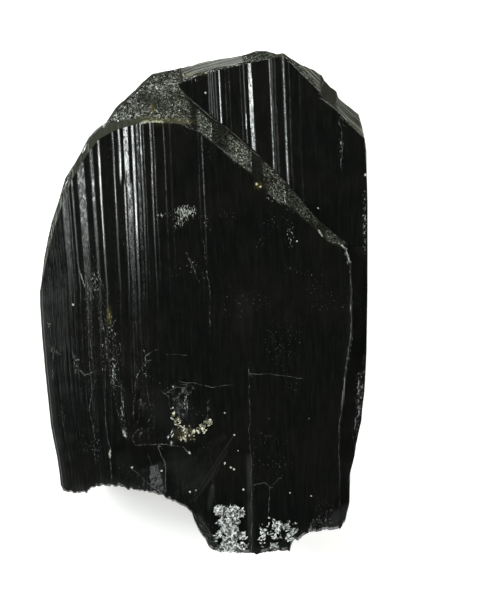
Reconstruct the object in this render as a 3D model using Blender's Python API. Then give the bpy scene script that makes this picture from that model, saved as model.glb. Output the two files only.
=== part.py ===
"""A loose columbite crystal: two flat plates grown into one, broken off at the foot, with mica on the break.

The specimen lies on its back. +X is to the right across the plates, +Y runs along the prism to the tip,
and +Z points up, out of the front face. The origin is on the resting face, under the middle of the box.
"""

import bisect
import math

import bmesh
import bpy
from mathutils import Matrix, Vector, noise

MM = 0.001

# Driving dimensions, in millimetres.
REAR_Z = 12.9  # the rear plate's face where its fine steps begin
REAR_LEFT_Z = 11.5  # the same face at the left side
FRONT_Z = 16.3  # the front plate's face where its left steps end
REAR_WALL_Z = 6.5  # where the upright sides turn under to the back
FRONT_PLATE_FOOT_Z = 9.6  # the underside of the front plate, which stands a little proud on the left
FRONT_PLATE_PROUD = 0.35
RIGHT_SHOULDER = 0.6  # the small bevel along the right side
CRUST_GAP = (0, -0.22, 0.25)  # how far a patch stays off the crystal, down past the foot and up

# The prism's side edges and the right edge of the front plate, as (y, x).
LEFT_EDGE = [(-34, -14.8), (-22.7, -16.7), (-12.2, -18.5), (-1.7, -19.4), (1.4, -19.56), (34, -23.5)]
RIGHT_EDGE = [(-34, 16.9), (-24, 17.4), (-17.8, 18.0), (-9, 19.35), (1.5, 19.56), (20, 19.3), (34, 19.0)]
FRONT_PLATE_EDGE = [
    (-34, 14.9), (-17.8, 16.2), (-10, 16.9), (-3.4, 17.75), (1.4, 17.9), (7, 17.1), (34, 16.5),
]
REAR_RINGS = [-34, -22.7, -12.2, -3.4, 1.4, 7, 20, 34]
FRONT_RINGS = [-33, -22.7, -12.2, -3.4, 1.4, 7, 20, 33]

# Growth steps, left to right, as (x where a facet ends, slope in degrees), at one height along Y.
FRONT_STEPS_AT = 12.2
FRONT_STEPS = [
    (-20.38, 52), (-17.28, 11), (-15.84, 27), (-15.1, 8), (-13.98, 27), (-13.44, 3), (-12.96, 25),
    (-12.36, 3), (-12.1, 25), (-10.7, 3), (-10.5, 25), (-9.84, 3), (-9.6, 25), (-9.36, 3), (-8.7, 25),
    (-8.5, 3), (-8.25, 25), (-7.44, 3), (-7.2, 25), (-6.12, 3), (-5.88, 25), (-0.4, 1.5), (0.0, 16),
    (9.0, 0), (14.0, -1.5),
]
FRONT_Z_AT = -5.88  # the end of the facet that has climbed to FRONT_Z
FRONT_RIGHT_FALL = 3.5  # degrees, the slope down to the front plate's right edge
REAR_STEPS_AT = 24.0
REAR_STEPS_START = -3.0
REAR_STEPS = [
    (0.5, 3), (0.72, 25), (1.6, 3), (1.86, 25), (4.8, 3), (5.0, 25), (5.28, 3), (5.9, 25), (8.0, 3),
    (8.35, 25), (8.55, 3), (9.0, 20), (9.45, 3), (9.95, 25), (12.0, 3), (12.2, 20), (18.4, 3),
]
# The back from left to right, as (x, z) at one height along Y: flat strips to lie on between shallow grooves.
BACK_PROFILE_AT = 0.0
BACK_PROFILE = [
    (-16.3, 3.1), (-15.6, 2.7), (-13.1, 0.55), (-12.5, 0), (-5.2, 0), (-4.8, 0.4), (-2.6, 0.5), (-2.2, 0),
    (7.4, 0), (7.8, 0.35), (10.4, 0.55), (10.7, 0), (14.0, 0), (14.8, 0.7), (16.9, 3.2), (17.5, 3.5),
]

# Faces of the tips, clockwise from the front: left corner, right corner, and slope, where 0 degrees
# faces up, 90 is upright and more than that faces down.
FRONT_TIP_FACES = [
    ((-19.3, 2.0, 12.9), (-17.9, 8.6, 13.1), 66),
    ((-17.9, 8.6, 13.1), (-15.3, 15.6, 13.8), 66),
    ((-15.3, 15.6, 13.8), (-11.9, 20.0, 15.1), 66),
    ((-11.9, 20.1, 15.1), (-1.68, 21.4, 16.4), 37),
    ((-1.68, 21.5, 16.4), (14.2, 7.6, 16.27), 50.5),
    ((-19.5, 2.4, 12.4), (-17.5, 11.8, 12.4), 89),
    ((-17.5, 11.8, 12.4), (-15.1, 17.0, 12.4), 88),
    ((-15.1, 17.0, 12.4), (-11.8, 21.4, 12.4), 88),
    ((-11.8, 21.4, 12.4), (-10.5, 23.3, 12.4), 89),
    ((-10.5, 23.3, 12.4), (-6.2, 27.3, 12.4), 88),
    ((-6.2, 27.0, 11), (3.6, 29.2, 11), 88),
]
REAR_TIP_FACES = [
    ((-8.2, 25.6, 12.4), (9.55, 29.3, 14.1), 50),
    ((9.55, 29.3, 14.1), (19.26, 19.4, 15.0), 49),
    ((-19.2, 2.2, 11), (-17.2, 11.8, 11), 89),
    ((-17.2, 11.8, 11), (-14.8, 17.0, 11), 88),
    ((-14.8, 17.0, 11), (-11.5, 21.4, 11), 88),
    ((-11.5, 21.4, 11), (-6.2, 27.3, 11), 87),
    ((-6.2, 27.3, 11), (3.6, 29.5, 11), 86),
    ((3.6, 29.4, 12), (6.2, 29.95, 12), 84),
    ((6.2, 29.95, 12), (9.9, 29.6, 12), 86),
    ((9.9, 29.7, 12), (14.4, 27.1, 12), 84),
    ((14.4, 27.1, 12), (16.3, 24.5, 12), 86),
    ((16.3, 24.5, 12), (17.9, 23.0, 12), 83),
    ((17.9, 23.0, 12), (19.4, 18.9, 12), 87),
    ((-17.5, 11.8, 7), (-6.2, 27.3, 7), 132),
    ((-6.2, 27.3, 7.4), (9.9, 29.7, 7.4), 127),
    ((9.9, 29.7, 7.4), (19.4, 18.9, 6.8), 131),
]

# The broken foot from the front, as (x, y), and how the break leans back under the front face.
FOOT_LINE = [
    (-24, -22.2), (-16.4, -22.8), (-13.7, -22.5), (-12.4, -21.95), (-10.6, -21.85), (-7.7, -22.4),
    (-5.8, -22.7), (-3.8, -23.8), (-1.9, -24.6), (-1.2, -26.0), (-0.5, -27.6), (0.2, -28.8), (1.6, -29.75),
    (5.6, -30.0), (10.0, -29.8), (10.5, -28.8), (11.6, -28.0), (13.9, -27.5), (16.0, -27.2), (24, -26.9),
]
FOOT_LEAN = 0.16
FOOT_ROUGHNESS = 1.3  # how far the break's flakes stand out or in
FOOT_FLAKE = 2.2  # their size
FOOT_FLAKE_FLATNESS = 1.7  # how much wider they are than high
FOOT_SHARP_DEPTH = 4.0  # how far under the front face they reach their full size
FLAKE_SLICE = 3.0  # the slice of the noise they're read from
FOOT_LEVELS = [-3, 1.2, 3, 4.8, 6.6, 8.4, 10.2, 12, 13.8, 15.4, 20]
FOOT_BOTTOM = -40

# Rounded breaks in the front, as (centre, radii, roughness): a shell-shaped fracture above the foot, the
# rough scar over it, two chips in the right edge and one at the lower right corner.
BREAKS = {
    "foot_fracture": ((-3.9, -25.6, 18.2), (6.9, 8.7, 5.2), 0.10),
    "scar": ((-3.4, -12.4, 17.6), (4.3, 4.8, 2.1), 0.30),
    "edge_chip": ((20.4, -12.6, 15.2), (1.9, 5.6, 3.2), 0.25),
    "lower_edge_chip": ((19.2, -21.5, 15.2), (1.7, 3.4, 2.6), 0.20),
}
CORNER_BREAK = ((14.6, -26.1, 15.6), (0.35, -0.62, 0.7))  # a point on it and the way it faces
CORNER_BREAK_SIZE = 6.0
LUMPS_PER_RADIUS = 1.9  # how many swells a rounded break or patch has along its radius
LUMP_SUBDIVISIONS = 3

# Mica patches at the foot and grains in the scar, as (centre, radii, roughness).
CRUSTS = {
    "mica_patch_left": ((2.85, -27.8, 16.95), (1.8, 2.45, 0.85), 0.28),
    "mica_patch_right": ((8.9, -27.9, 17.05), (2.3, 1.75, 0.45), 0.30),
    "feldspar_grains": ((-1.0, -14.6, 16.3), (1.5, 1.25, 0.4), 0.30),
}

# Each material's colour, roughness and how metallic it is.
FINISHES = {
    "columbite": ((0.012, 0.012, 0.012), 0.25, 0.4),
    "mica": ((0.72, 0.74, 0.70), 0.45, 0.0),
    "feldspar": ((0.62, 0.52, 0.28), 0.45, 0.0),
}
CUT_TOLERANCE = 1e-7  # metres


def on_line(points, at):
    """The second value of a polyline of (key, value) pairs at a key, carried on past its ends."""
    keys = [key for key, _ in points]
    k = min(max(bisect.bisect_right(keys, at), 1), len(keys) - 1)
    (a, value_a), (b, value_b) = points[k - 1], points[k]
    return value_a + (value_b - value_a) * (at - a) / (b - a)


def carried(x, at, y):
    """Where a striation that passes x at one height passes another: it keeps its share of the width."""
    left, right = on_line(LEFT_EDGE, at), on_line(RIGHT_EDGE, at)
    share = (x - left) / (right - left)
    return on_line(LEFT_EDGE, y) * (1 - share) + on_line(RIGHT_EDGE, y) * share


def stepped_profile(steps, x, z):
    """Corners (x, z) of a face that starts at x and z and climbs by the steps' slopes."""
    corners = [(x, z)]
    for end, slope in steps:
        z += (end - x) * math.tan(math.radians(slope))
        x = end
        corners.append((x, z))
    return corners


def new_object(name, bm, helper=False):
    mesh = bpy.data.meshes.new(name)
    bm.to_mesh(mesh)
    bm.free()
    obj = bpy.data.objects.new(name, mesh)
    bpy.context.scene.collection.objects.link(obj)
    if helper:
        obj.hide_render = True
        obj.display_type = "WIRE"
    return obj


def lofted(rings):
    """A closed bmesh skinned over rings of equally many points, given in millimetres."""
    bm = bmesh.new()
    loops = []
    for ring in rings:
        verts = [bm.verts.new(Vector(point) * MM) for point in ring]
        loops.append([bm.edges.new(pair) for pair in zip(verts, verts[1:] + verts[:1])])
    for lower, upper in zip(loops, loops[1:]):
        bmesh.ops.bridge_loops(bm, edges=lower + upper)
    for end in (loops[0], loops[-1]):
        bmesh.ops.contextual_create(bm, geom=end)
    bmesh.ops.triangulate(bm, faces=bm.faces[:])
    bmesh.ops.recalc_face_normals(bm, faces=bm.faces[:])
    return bm


def cut_flat(bm, corner_a, corner_b, slope):
    """Cuts a tip face through two corners, outside on the left hand from a to b, and closes the cut."""
    a, b = Vector(corner_a), Vector(corner_b)
    along = (b - a).normalized()
    outward = Vector((-along.y, along.x, 0)).normalized()
    turn = math.radians(slope)
    normal = outward * math.sin(turn) + Vector((0, 0, math.cos(turn)))
    normal = (normal - along * normal.dot(along)).normalized()
    bmesh.ops.bisect_plane(
        bm, geom=bm.verts[:] + bm.edges[:] + bm.faces[:], dist=CUT_TOLERANCE,
        plane_co=a * MM, plane_no=normal, clear_outer=True,
    )
    bmesh.ops.holes_fill(bm, edges=[edge for edge in bm.edges if edge.is_boundary], sides=0)


def rear_plate():
    """The full-width plate: stepped front, upright sides and turned-under back, cut by its tip faces."""
    face = stepped_profile(REAR_STEPS, REAR_STEPS_START, REAR_Z)
    shoulder_z = face[-1][1] - RIGHT_SHOULDER
    rings = []
    for y in REAR_RINGS:
        left, right = on_line(LEFT_EDGE, y) + FRONT_PLATE_PROUD, on_line(RIGHT_EDGE, y)
        ring = [(left, y, REAR_WALL_Z), (left, y, REAR_LEFT_Z)]
        ring += [(carried(x, REAR_STEPS_AT, y), y, z) for x, z in face]
        ring += [(right, y, shoulder_z), (right, y, REAR_WALL_Z - RIGHT_SHOULDER)]
        ring += [(carried(x, BACK_PROFILE_AT, y), y, z) for x, z in reversed(BACK_PROFILE)]
        rings.append(ring)
    bm = lofted(rings)
    for tip_face in REAR_TIP_FACES:
        cut_flat(bm, *tip_face)
    return bm


def front_plate():
    """The plate in front: it ends short of the rear plate's tip in its own peak and bevels."""
    face = stepped_profile(FRONT_STEPS, on_line(LEFT_EDGE, FRONT_STEPS_AT), 0)
    rise = FRONT_Z - dict(face)[FRONT_Z_AT]
    rings = []
    for y in FRONT_RINGS:
        right = on_line(FRONT_PLATE_EDGE, y)
        ring = [(on_line(LEFT_EDGE, y), y, FRONT_PLATE_FOOT_Z)]
        ring += [(carried(x, FRONT_STEPS_AT, y), y, z + rise) for x, z in face]
        right_z = ring[-1][2] - (right - ring[-1][0]) * math.tan(math.radians(FRONT_RIGHT_FALL))
        ring += [(right, y, right_z), (right + RIGHT_SHOULDER / 2, y, FRONT_PLATE_FOOT_Z)]
        rings.append(ring)
    bm = lofted(rings)
    for tip_face in FRONT_TIP_FACES:
        cut_flat(bm, *tip_face)
    return bm


def foot_cutter():
    """Everything below the ragged foot line, leaning back with depth and roughened in flakes."""
    rings = []
    for z in FOOT_LEVELS:
        ring = [(x, FOOT_BOTTOM, z) for x in (FOOT_LINE[-1][0], FOOT_LINE[0][0])]
        for x, y in FOOT_LINE:
            depth = max(FRONT_Z - z, 0)
            flake = noise.noise(Vector((x, z * FOOT_FLAKE_FLATNESS, FLAKE_SLICE)) / FOOT_FLAKE)
            rough = FOOT_ROUGHNESS * flake * min(depth / FOOT_SHARP_DEPTH, 1)
            ring.append((x, y + depth * FOOT_LEAN + rough, z))
        rings.append(ring)
    return lofted(rings)


def lumpy_ball(centre, radii, roughness):
    """A ball with these radii whose surface swells and dips by a share of its size."""
    bm = bmesh.new()
    bmesh.ops.create_icosphere(bm, subdivisions=LUMP_SUBDIVISIONS, radius=1.0)
    for vert in bm.verts:
        swell = 1 + roughness * noise.noise(vert.co * LUMPS_PER_RADIUS + Vector(centre))
        spread = Vector(value * radius for value, radius in zip(vert.co * swell, radii))
        vert.co = (Vector(centre) + spread) * MM
    return bm


def corner_cutter():
    """A block whose one face is the flat break at the lower right corner."""
    point, facing = CORNER_BREAK
    facing = Vector(facing).normalized()
    turn = facing.to_track_quat("Z", "Y").to_matrix().to_4x4()
    middle = (Vector(point) + facing * CORNER_BREAK_SIZE / 2) * MM
    bm = bmesh.new()
    bmesh.ops.create_cube(bm, size=CORNER_BREAK_SIZE * MM, matrix=Matrix.Translation(middle) @ turn)
    return bm


def finish(obj, slot):
    """Gives a piece its Principled material."""
    color, roughness, metallic = FINISHES[slot]
    material = bpy.data.materials.new(slot)
    material.use_nodes = True
    shader = material.node_tree.nodes["Principled BSDF"]
    shader.inputs["Base Color"].default_value = (*color, 1)
    shader.inputs["Roughness"].default_value = roughness
    shader.inputs["Metallic"].default_value = metallic
    obj.data.materials.append(material)


def combine(target, tool, operation):
    modifier = target.modifiers.new(tool.name, "BOOLEAN")
    modifier.operation = operation
    modifier.solver = "EXACT"
    modifier.object = tool


def columbite_crystal():
    """Both plates grown together, then broken: one solid."""
    crystal = new_object("columbite_crystal", rear_plate())
    combine(crystal, new_object("front_plate", front_plate(), helper=True), "UNION")
    combine(crystal, new_object("foot_cutter", foot_cutter(), helper=True), "DIFFERENCE")
    combine(crystal, new_object("corner_cutter", corner_cutter(), helper=True), "DIFFERENCE")
    for name, shape in BREAKS.items():
        combine(crystal, new_object(name, lumpy_ball(*shape), helper=True), "DIFFERENCE")
    finish(crystal, "columbite")
    return crystal


def crust_bed(crystal):
    """The crystal's own shape moved out by the gap, to cut the undersides of the patches that lie on it."""
    bed = crystal.copy()
    bed.name = "crust_bed"
    bed.location = Vector(CRUST_GAP) * MM
    bed.hide_render = True
    bed.display_type = "WIRE"
    bpy.context.scene.collection.objects.link(bed)
    return bed


def main():
    for obj in list(bpy.data.objects):
        bpy.data.objects.remove(obj, do_unlink=True)
    bed = crust_bed(columbite_crystal())
    for name, shape in CRUSTS.items():
        crust = new_object(name, lumpy_ball(*shape))
        combine(crust, bed, "DIFFERENCE")
        finish(crust, "feldspar" if name == "feldspar_grains" else "mica")


main()
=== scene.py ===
"""Looks of the columbite crystal, lying on its back: a black, striated plate crystal with mica on its foot.

Lengths below are in millimetres unless a name says otherwise. +X is right, +Y runs to the tip, +Z is up.
"""

import math
from types import SimpleNamespace

import bpy
import numpy as np
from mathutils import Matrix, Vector

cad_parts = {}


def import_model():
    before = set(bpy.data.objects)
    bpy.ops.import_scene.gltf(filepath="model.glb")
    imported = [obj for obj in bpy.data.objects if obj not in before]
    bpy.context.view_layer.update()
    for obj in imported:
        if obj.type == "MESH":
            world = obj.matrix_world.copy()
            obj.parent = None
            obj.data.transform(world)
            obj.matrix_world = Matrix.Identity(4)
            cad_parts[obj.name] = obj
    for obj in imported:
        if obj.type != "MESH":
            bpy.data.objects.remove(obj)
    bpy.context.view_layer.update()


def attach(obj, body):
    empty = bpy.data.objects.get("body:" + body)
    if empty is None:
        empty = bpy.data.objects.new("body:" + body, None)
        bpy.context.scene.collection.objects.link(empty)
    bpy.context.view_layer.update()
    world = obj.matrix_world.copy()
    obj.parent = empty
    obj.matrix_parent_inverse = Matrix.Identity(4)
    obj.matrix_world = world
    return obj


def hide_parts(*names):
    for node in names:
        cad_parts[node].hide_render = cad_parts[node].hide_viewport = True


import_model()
MM = 0.001
OBJECT_TO_MM = 1000.0
UV_TO_MM = 100.0  # the prism map holds the line pattern's millimetres divided by this
HALF_WIDTH = 19.56

# The crystal's outline from the front, as (x, y). The tip runs clockwise from the left side.
TIP_LINE = [
    (-19.56, 1.4), (-19.14, 5.2), (-18.7, 7.4), (-18.2, 9.7), (-17.5, 11.8), (-16.55, 14.9), (-15.1, 17.2),
    (-13.8, 19.7), (-12.95, 20.6), (-11.75, 21.4), (-10.5, 23.3), (-8.9, 24.7), (-7.55, 26.1),
    (-6.25, 27.3), (-4.45, 27.7), (-2.3, 28.1), (0.5, 28.85), (3.6, 29.35), (4.9, 29.6), (6.25, 30.05),
    (7.55, 30.0), (8.65, 29.65), (9.55, 29.75), (10.8, 28.85), (11.95, 28.25), (13.05, 27.8),
    (14.15, 27.05), (14.4, 26.45), (15.05, 25.8), (15.85, 25.15), (16.1, 24.4), (17.05, 23.6), (17.8, 23.0),
    (18.5, 22.4), (18.85, 21.2), (19.25, 19.45), (19.45, 17.95), (19.56, 12.2),
]
FOOT_LINE = [
    (-17.05, -21.9), (-16.8, -22.6), (-16.5, -22.75), (-15.1, -22.8), (-13.9, -22.75), (-13.4, -22.25),
    (-12.7, -22.0), (-11.5, -21.9), (-9.6, -22.1), (-8.9, -22.4), (-7.7, -22.5), (-6.5, -22.7),
    (-4.8, -23.3), (-3.85, -23.8), (-2.9, -24.2), (-1.9, -24.7), (-1.45, -25.1), (-0.95, -26.7),
    (-0.5, -27.5), (0.1, -28.3), (0.5, -29.0), (0.95, -29.5), (2.2, -29.8), (4.3, -29.9), (5.8, -30.0),
    (7.9, -29.9), (9.6, -29.8), (10.3, -29.6), (10.55, -28.7), (11.4, -28.3), (11.9, -27.9), (13.3, -27.4),
    (15.1, -27.3), (16.3, -27.2), (16.95, -26.2), (17.4, -24.3), (17.5, -23.2),
]
LEFT_SIDE = [
    (-31, -15.9), (-22.4, -17.0), (-20.5, -17.2), (-18.5, -17.5), (-16.6, -17.9), (-14.7, -18.25),
    (-11.8, -18.55), (-8.0, -18.95), (-4.1, -19.3), (-0.3, -19.55), (1.4, -19.56), (34, -23.5),
]
RIGHT_SIDE = [
    (-31, 17.2), (-24.3, 17.4), (-20.5, 17.5), (-18.5, 18.0), (-17.1, 18.2), (-15.7, 18.5), (-14.2, 18.85),
    (-12.8, 18.95), (-10.9, 19.2), (-8.2, 19.35), (-6, 19.45), (1.5, 19.56), (34, 19.56),
]
# Crest lines on the front, as (x, y): the lower edge of the front plate's tip faces, the line where they meet
# the rear plate, and the edge of the rear plate's own tip faces.
FRONT_CREST = [
    (-19.4, 1.9), (-18.75, 5.2), (-17.9, 8.6), (-16.9, 11.8), (-15.75, 14.6), (-14.5, 16.7),
    (-13.65, 18.05), (-12.5, 19.4), (-11.0, 20.25), (-9.9, 20.7), (-8.65, 21.0), (-7.6, 21.35), (-5, 21.4),
    (-2.4, 21.15), (-1.1, 20.45), (0.7, 19.1), (2.7, 17.45), (5.5, 15.3), (6.7, 14.0), (8.05, 12.55),
    (11.05, 10.5), (13.4, 8.5), (14.9, 7.0), (16.0, 6.6), (17.1, 6.55), (19.56, 6.5),
]
REAR_FOOT = [
    (-19.5, 2.1), (-18.9, 5.6), (-18.1, 9.3), (-17.2, 12.6), (-16.1, 15.2), (-14.9, 17.5), (-13.8, 19.5),
    (-12.0, 21.1), (-10.4, 23.0), (-8.8, 24.5), (-8.2, 25.5), (-3.0, 25.7), (-2.2, 24.8), (-1.3, 23.95),
    (1.8, 21.55), (5.1, 19.0), (10.1, 14.0), (13.9, 9.6), (16.3, 7.6), (17.15, 7.1), (19.56, 7.0),
]
REAR_CREST = [
    (-19.53, 2.3), (-18.8, 6.2), (-18.0, 9.8), (-17.1, 13.0), (-15.9, 15.6), (-14.7, 17.8), (-13.78, 19.6),
    (-11.9, 21.2), (-10.4, 23.2), (-8.8, 24.6), (-8.1, 25.55), (-3.4, 25.85), (-1.0, 26.9), (1.8, 27.7),
    (4.9, 28.4), (9.55, 29.4), (11.05, 27.8), (12.3, 26.55), (13.9, 24.95), (14.15, 24.15), (15.8, 22.85),
    (16.7, 21.8), (19.25, 19.4), (19.56, 12.0),
]
# Heights, as (x, z).
TIP_RIM = [
    (-19.56, 11.9), (-16.5, 11.9), (-13.8, 12.6), (-11.75, 13.8), (-10.5, 13.4), (-8.9, 12.75),
    (-8.2, 12.5), (-6.25, 10.9), (-2.3, 11.2), (0.5, 11.4), (4.9, 11.9), (6.25, 12.1), (9.55, 13.6),
    (11.95, 12.8), (14.15, 12.65), (16.1, 13.2), (17.8, 13.2), (18.85, 13.5), (19.56, 14.4),
]
# Height of each plate's face, and the column where it has that height.
FRONT_Z, FRONT_ANCHOR = 16.3, -5.9
REAR_Z, REAR_ANCHOR = 12.9, -2.4

# Growth steps as (left, right, slope in degrees, how satiny): facets that rise to the right. Two more numbers
# are the ends along Y of one that doesn't run the whole length. A column is named by its place across at the
# height COLUMN_AT along Y.
COLUMN_AT = 14.0
WHOLE_LENGTH = (-40, 40)
FRONT_STEPS = [
    (-17.2, -16.72, 13.9, 0.5), (-16.66, -16.42, 13.1, 0.5), (-16.36, -16.2, 13.5, 0.5),
    (-15.82, -15.66, 18.5, 0.2), (-15.1, -14.2, 14.2, 0.9), (-13.4, -13.0, 15.4, 0.5),
    (-12.42, -12.18, 23.6, 0.1), (-10.7, -10.52, 20.5, 0.2), (-10.02, -9.76, 24, 0.1, 14.2, 40),
    (-9.6, -9.4, 21, 0.2, -40, 14.2), (-9.3, -8.76, 23.5, 0.7, 14.3, 40),
    (-9.25, -8.6, 17.3, 0.8, -40, 14.3), (-8.42, -8.12, 25, 0.1), (-7.85, -7.5, 13.5, 0.9),
    (-7.38, -7.2, 22.5, 0.2), (-7.0, -6.9, 16, 0.3), (-6.2, -6.02, 22, 0.2), (-5.78, -5.66, 15.5, 0.4),
    (-4.59, -4.46, 15, 0.4), (-3.87, -3.75, 15, 0.4), (-0.55, -0.42, 16, 0.5), (-0.08, 0.08, 17, 0.5),
    (5.25, 5.35, 15, 0.2, -19.5, -10),
]
REAR_STEPS = [
    (1.15, 1.28, 21, 0.3), (1.42, 1.52, 20, 0.3), (1.68, 1.78, 21, 0.3), (2.02, 2.12, 22.5, 0.2),
    (2.42, 2.58, 25, 0.1), (3.15, 3.24, 14, 0.5), (3.6, 3.68, 16, 0.5), (5.0, 5.08, 17, 0.4),
    (5.4, 5.52, 24, 0.3), (5.95, 6.38, 24.5, 0.5), (8.38, 8.54, 22, 0.3), (8.62, 8.74, 20, 0.4),
    (8.98, 9.1, 18, 0.4), (9.95, 10.2, 22, 0.3), (10.6, 10.7, 16, 0.5), (11.8, 11.9, 12, 0.5),
]
# The steps flatten towards the foot: the share of their slope that is left, as (y, share).
STEP_FADE = [(-31, 0.12), (-12, 0.15), (-6, 0.21), (0, 0.33), (5, 0.55), (9, 0.77), (13, 1), (34, 1)]
# The bevel along the left side: the columns at its outer and inner edge, and its slope.
OUTER_COLUMN, LEFT_BEVEL_END = -21.1, -20.75
LEFT_BEVEL_SLOPE = 60
# Slopes of the terraces between the steps, as (column, degrees).
FRONT_TERRACE = [
    (-22, 7), (-17.4, 7), (-17.25, 3.2), (-12, 2.9), (-6, 2.5), (0, 1.0), (4, 0.3), (10, -0.5), (14, -1.5),
    (20, -3.5),
]
REAR_TERRACE = [(-22, 5), (-3, 3), (20, 3)]
# The right edge of the front plate, as (y, x), and how wide the step down past it is.
FRONT_PLATE_EDGE = [
    (-31, 16.2), (-21.3, 16.25), (-17.6, 16.1), (-15, 16.2), (-9.3, 16.8), (-6.2, 17.2), (-3.8, 17.6),
    (3.5, 17.5), (6.3, 16.8), (7.1, 16.0), (34, 16.0),
]
STEP_WIDTH = 0.16
# The side face past the step lies below the rear plate's face by this much, plus this much for each mm, from
# this height along Y downwards.
SIDE_DROP, SIDE_FALL, SIDE_TOP = 0.1, 0.12, 6.5
# The strip where the plates meet, from left to right, as (x, how frosted it is, how hollow).
STRIP_BLOCKS = np.array([
    (-20, 0.82, 1), (-1.7, 0.82, 1), (-1.45, 0.05, 1.1), (-0.9, 0.05, 1.1), (-0.7, 0.95, 1), (0.8, 0.95, 1),
    (0.95, 0.14, 1.35), (2.75, 0.14, 1.35), (2.9, 1, 1), (5.55, 1, 1), (5.7, 0.03, 1.5), (6.9, 0.03, 1.5),
    (7.2, 0.84, 1), (9.6, 0.78, 1), (9.8, 0.3, 1.6), (11.2, 0.4, 1.6), (11.4, 0.66, 1), (13.4, 0.55, 1),
    (13.6, 0.15, 1.5), (14.5, 0.15, 1.5), (14.7, 0.75, 1), (16.8, 0.65, 1), (17.3, 0, 1),
])

# Smooth lips along the strip's lower and upper edges, as (x, width).
LOWER_LIP = [(-12.5, 1.9), (-10.7, 1.4), (-8.8, 1.2), (-7.7, 0.95), (-6.5, 0.4), (-2.5, 0.3), (0, 0.22)]
UPPER_LIP = [(-2.6, 0), (-2.0, 0.75), (0, 0.8), (6, 0.55), (7.5, 0.1)]
# The grained ledge along the foot of the tip's faces, as (x, width) and (x, how grained), and how fluted the
# rest of those faces is.
LEDGE = [
    (-3.4, 9), (-2.8, 0.9), (-1.6, 0.3), (4.8, 0.2), (5.0, 9), (9.5, 9), (10.2, 0.9), (13.0, 0.8),
    (13.6, 0.01),
]
LEDGE_GRAIN = [(4.9, 1), (5.2, 0.6), (9.5, 0.6), (9.8, 1)]
FLUTES = [(-3, 1), (-2, 1), (5, 1), (5.3, 0), (9.5, 0), (9.9, 1), (13.8, 1), (14.0, 0), (15.8, 0), (16.0, 1)]
# How far the strip's and the tip's faces shine as one sheet, and how olive the strip is, as (x, share).
STRIP_LEAN = [(-1.8, 0.85), (-1.5, 1)]
TIP_LEAN = [(4.5, 0.1), (5.0, 1), (15.7, 1), (16.0, 0.6)]
STRIP_OLIVE = [(-19.5, 0.35), (-18, 0.5), (-13, 0.6), (-11, 0.72), (-2.6, 0.85), (-1.7, 0.06)]
STRIP_END = [(16.6, 1), (17.0, 0)]
# How strongly the faces are lined, as (x, share).
LINED = [(-18.4, 0.2), (-17, 1), (-9, 1), (-6, 0.5), (2, 0.15)]

COLUMNS = 401
# Rows in each band of the front: the face up to each of ROW_MARKS, to just under the crest and to it, the
# strip, the rear plate's face with a narrow band at both edges, and the tip's faces.
FRONT_ROWS = (30, 48, 43, 1, 20, 1, 32, 1, 12)
ROW_MARKS = (-17.6, -8.0)
CREST_ROW, FOOT_ROW, BEVEL_ROW = (sum(FRONT_ROWS[:bands]) for bands in (4, 5, 8))
STRIP = slice(CREST_ROW, FOOT_ROW + 1)
REAR = slice(FOOT_ROW, BEVEL_ROW + 1)
BEVEL = slice(BEVEL_ROW, None)
REAR_FROM = -8.2  # left of this the rear plate's face is only a ledge along the rim
LEDGE_OVER_RIM = 0.03
GUARD = 0.05  # a row this far inside a face keeps one finish from bleeding into the next
BEVEL_PATTERN, WALL_PATTERN = 40, 60  # set apart, so that no two faces carry the same lines
GRAINED = 0.86  # how grained the rear plate's face and the tip's ledge are
NO_CRACK = 6.0  # half widths off the nearest crack from which it no longer shows
WALL_Z = 6.5
SKIRT_LEVELS = 12
FOOT_UNDERCUT = 2.2  # the break at the foot meets the back this far in
REAR_PLATE_TOP, REAR_SET_IN = 9.7, 0.35  # on the left side the rear plate is set in below this height
BACK_INSET = 0.5
THIN = 4  # the back has one row and one column for this many of the front's

FINISHES = (
    "frost", "broken", "polished", "crack_across", "crack_power", "satin", "fluted", "lined", "lean", "olive",
    "specks", "worn", "stain", "haze", "wall",
)
MIX_FIRST, MIX_SECOND, MIX_RESULT = 6, 7, 2  # a colour mix's own sockets
SENSOR = 36
CAMERA_DISTANCE = 1200
FRAME_HEIGHT = 72.0  # what the view spans from top to bottom at the crystal's middle
FRAME_MIDDLE = (4.5, 0.18, 9)
FLOOR_REACH = 4000


def slope_of(degrees):
    """Rise per mm of a slope in degrees."""
    return math.tan(math.radians(degrees))


def on_line(line, at):
    """Linear reading of a polyline (key, value) at each key in an array."""
    line = np.asarray(line, dtype=float)
    return np.interp(at, line[:, 0], line[:, 1])


def lattice(ix, iy, seed):
    """A repeatable pseudo-random value from 0 to 1 for each pair of whole numbers."""
    n = (ix * 374761393 + iy * 668265263 + seed * 974634777) & 0xFFFFFFFF
    n = ((n ^ (n >> 13)) * 1274126177) & 0xFFFFFFFF
    return ((n ^ (n >> 16)) & 0xFFFF) / 65535.0


def grain(x, y, cell, seed):
    """Smooth noise from -1 to 1: lattice values a cell apart, blended with a cubic ease."""
    fx, fy = np.asarray(x) / cell, np.asarray(y) / cell
    ix, iy = np.floor(fx).astype(np.int64), np.floor(fy).astype(np.int64)
    tx, ty = fx - ix, fy - iy
    tx, ty = tx * tx * (3 - 2 * tx), ty * ty * (3 - 2 * ty)
    low = lattice(ix, iy, seed) * (1 - tx) + lattice(ix + 1, iy, seed) * tx
    high = lattice(ix, iy + 1, seed) * (1 - tx) + lattice(ix + 1, iy + 1, seed) * tx
    return (low * (1 - ty) + high * ty) * 2 - 1


def ease(low, high, value):
    """0 below low, 1 above high, and a smooth cubic between."""
    t = np.clip((np.asarray(value) - low) / (high - low), 0, 1)
    return t * t * (3 - 2 * t)


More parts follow.
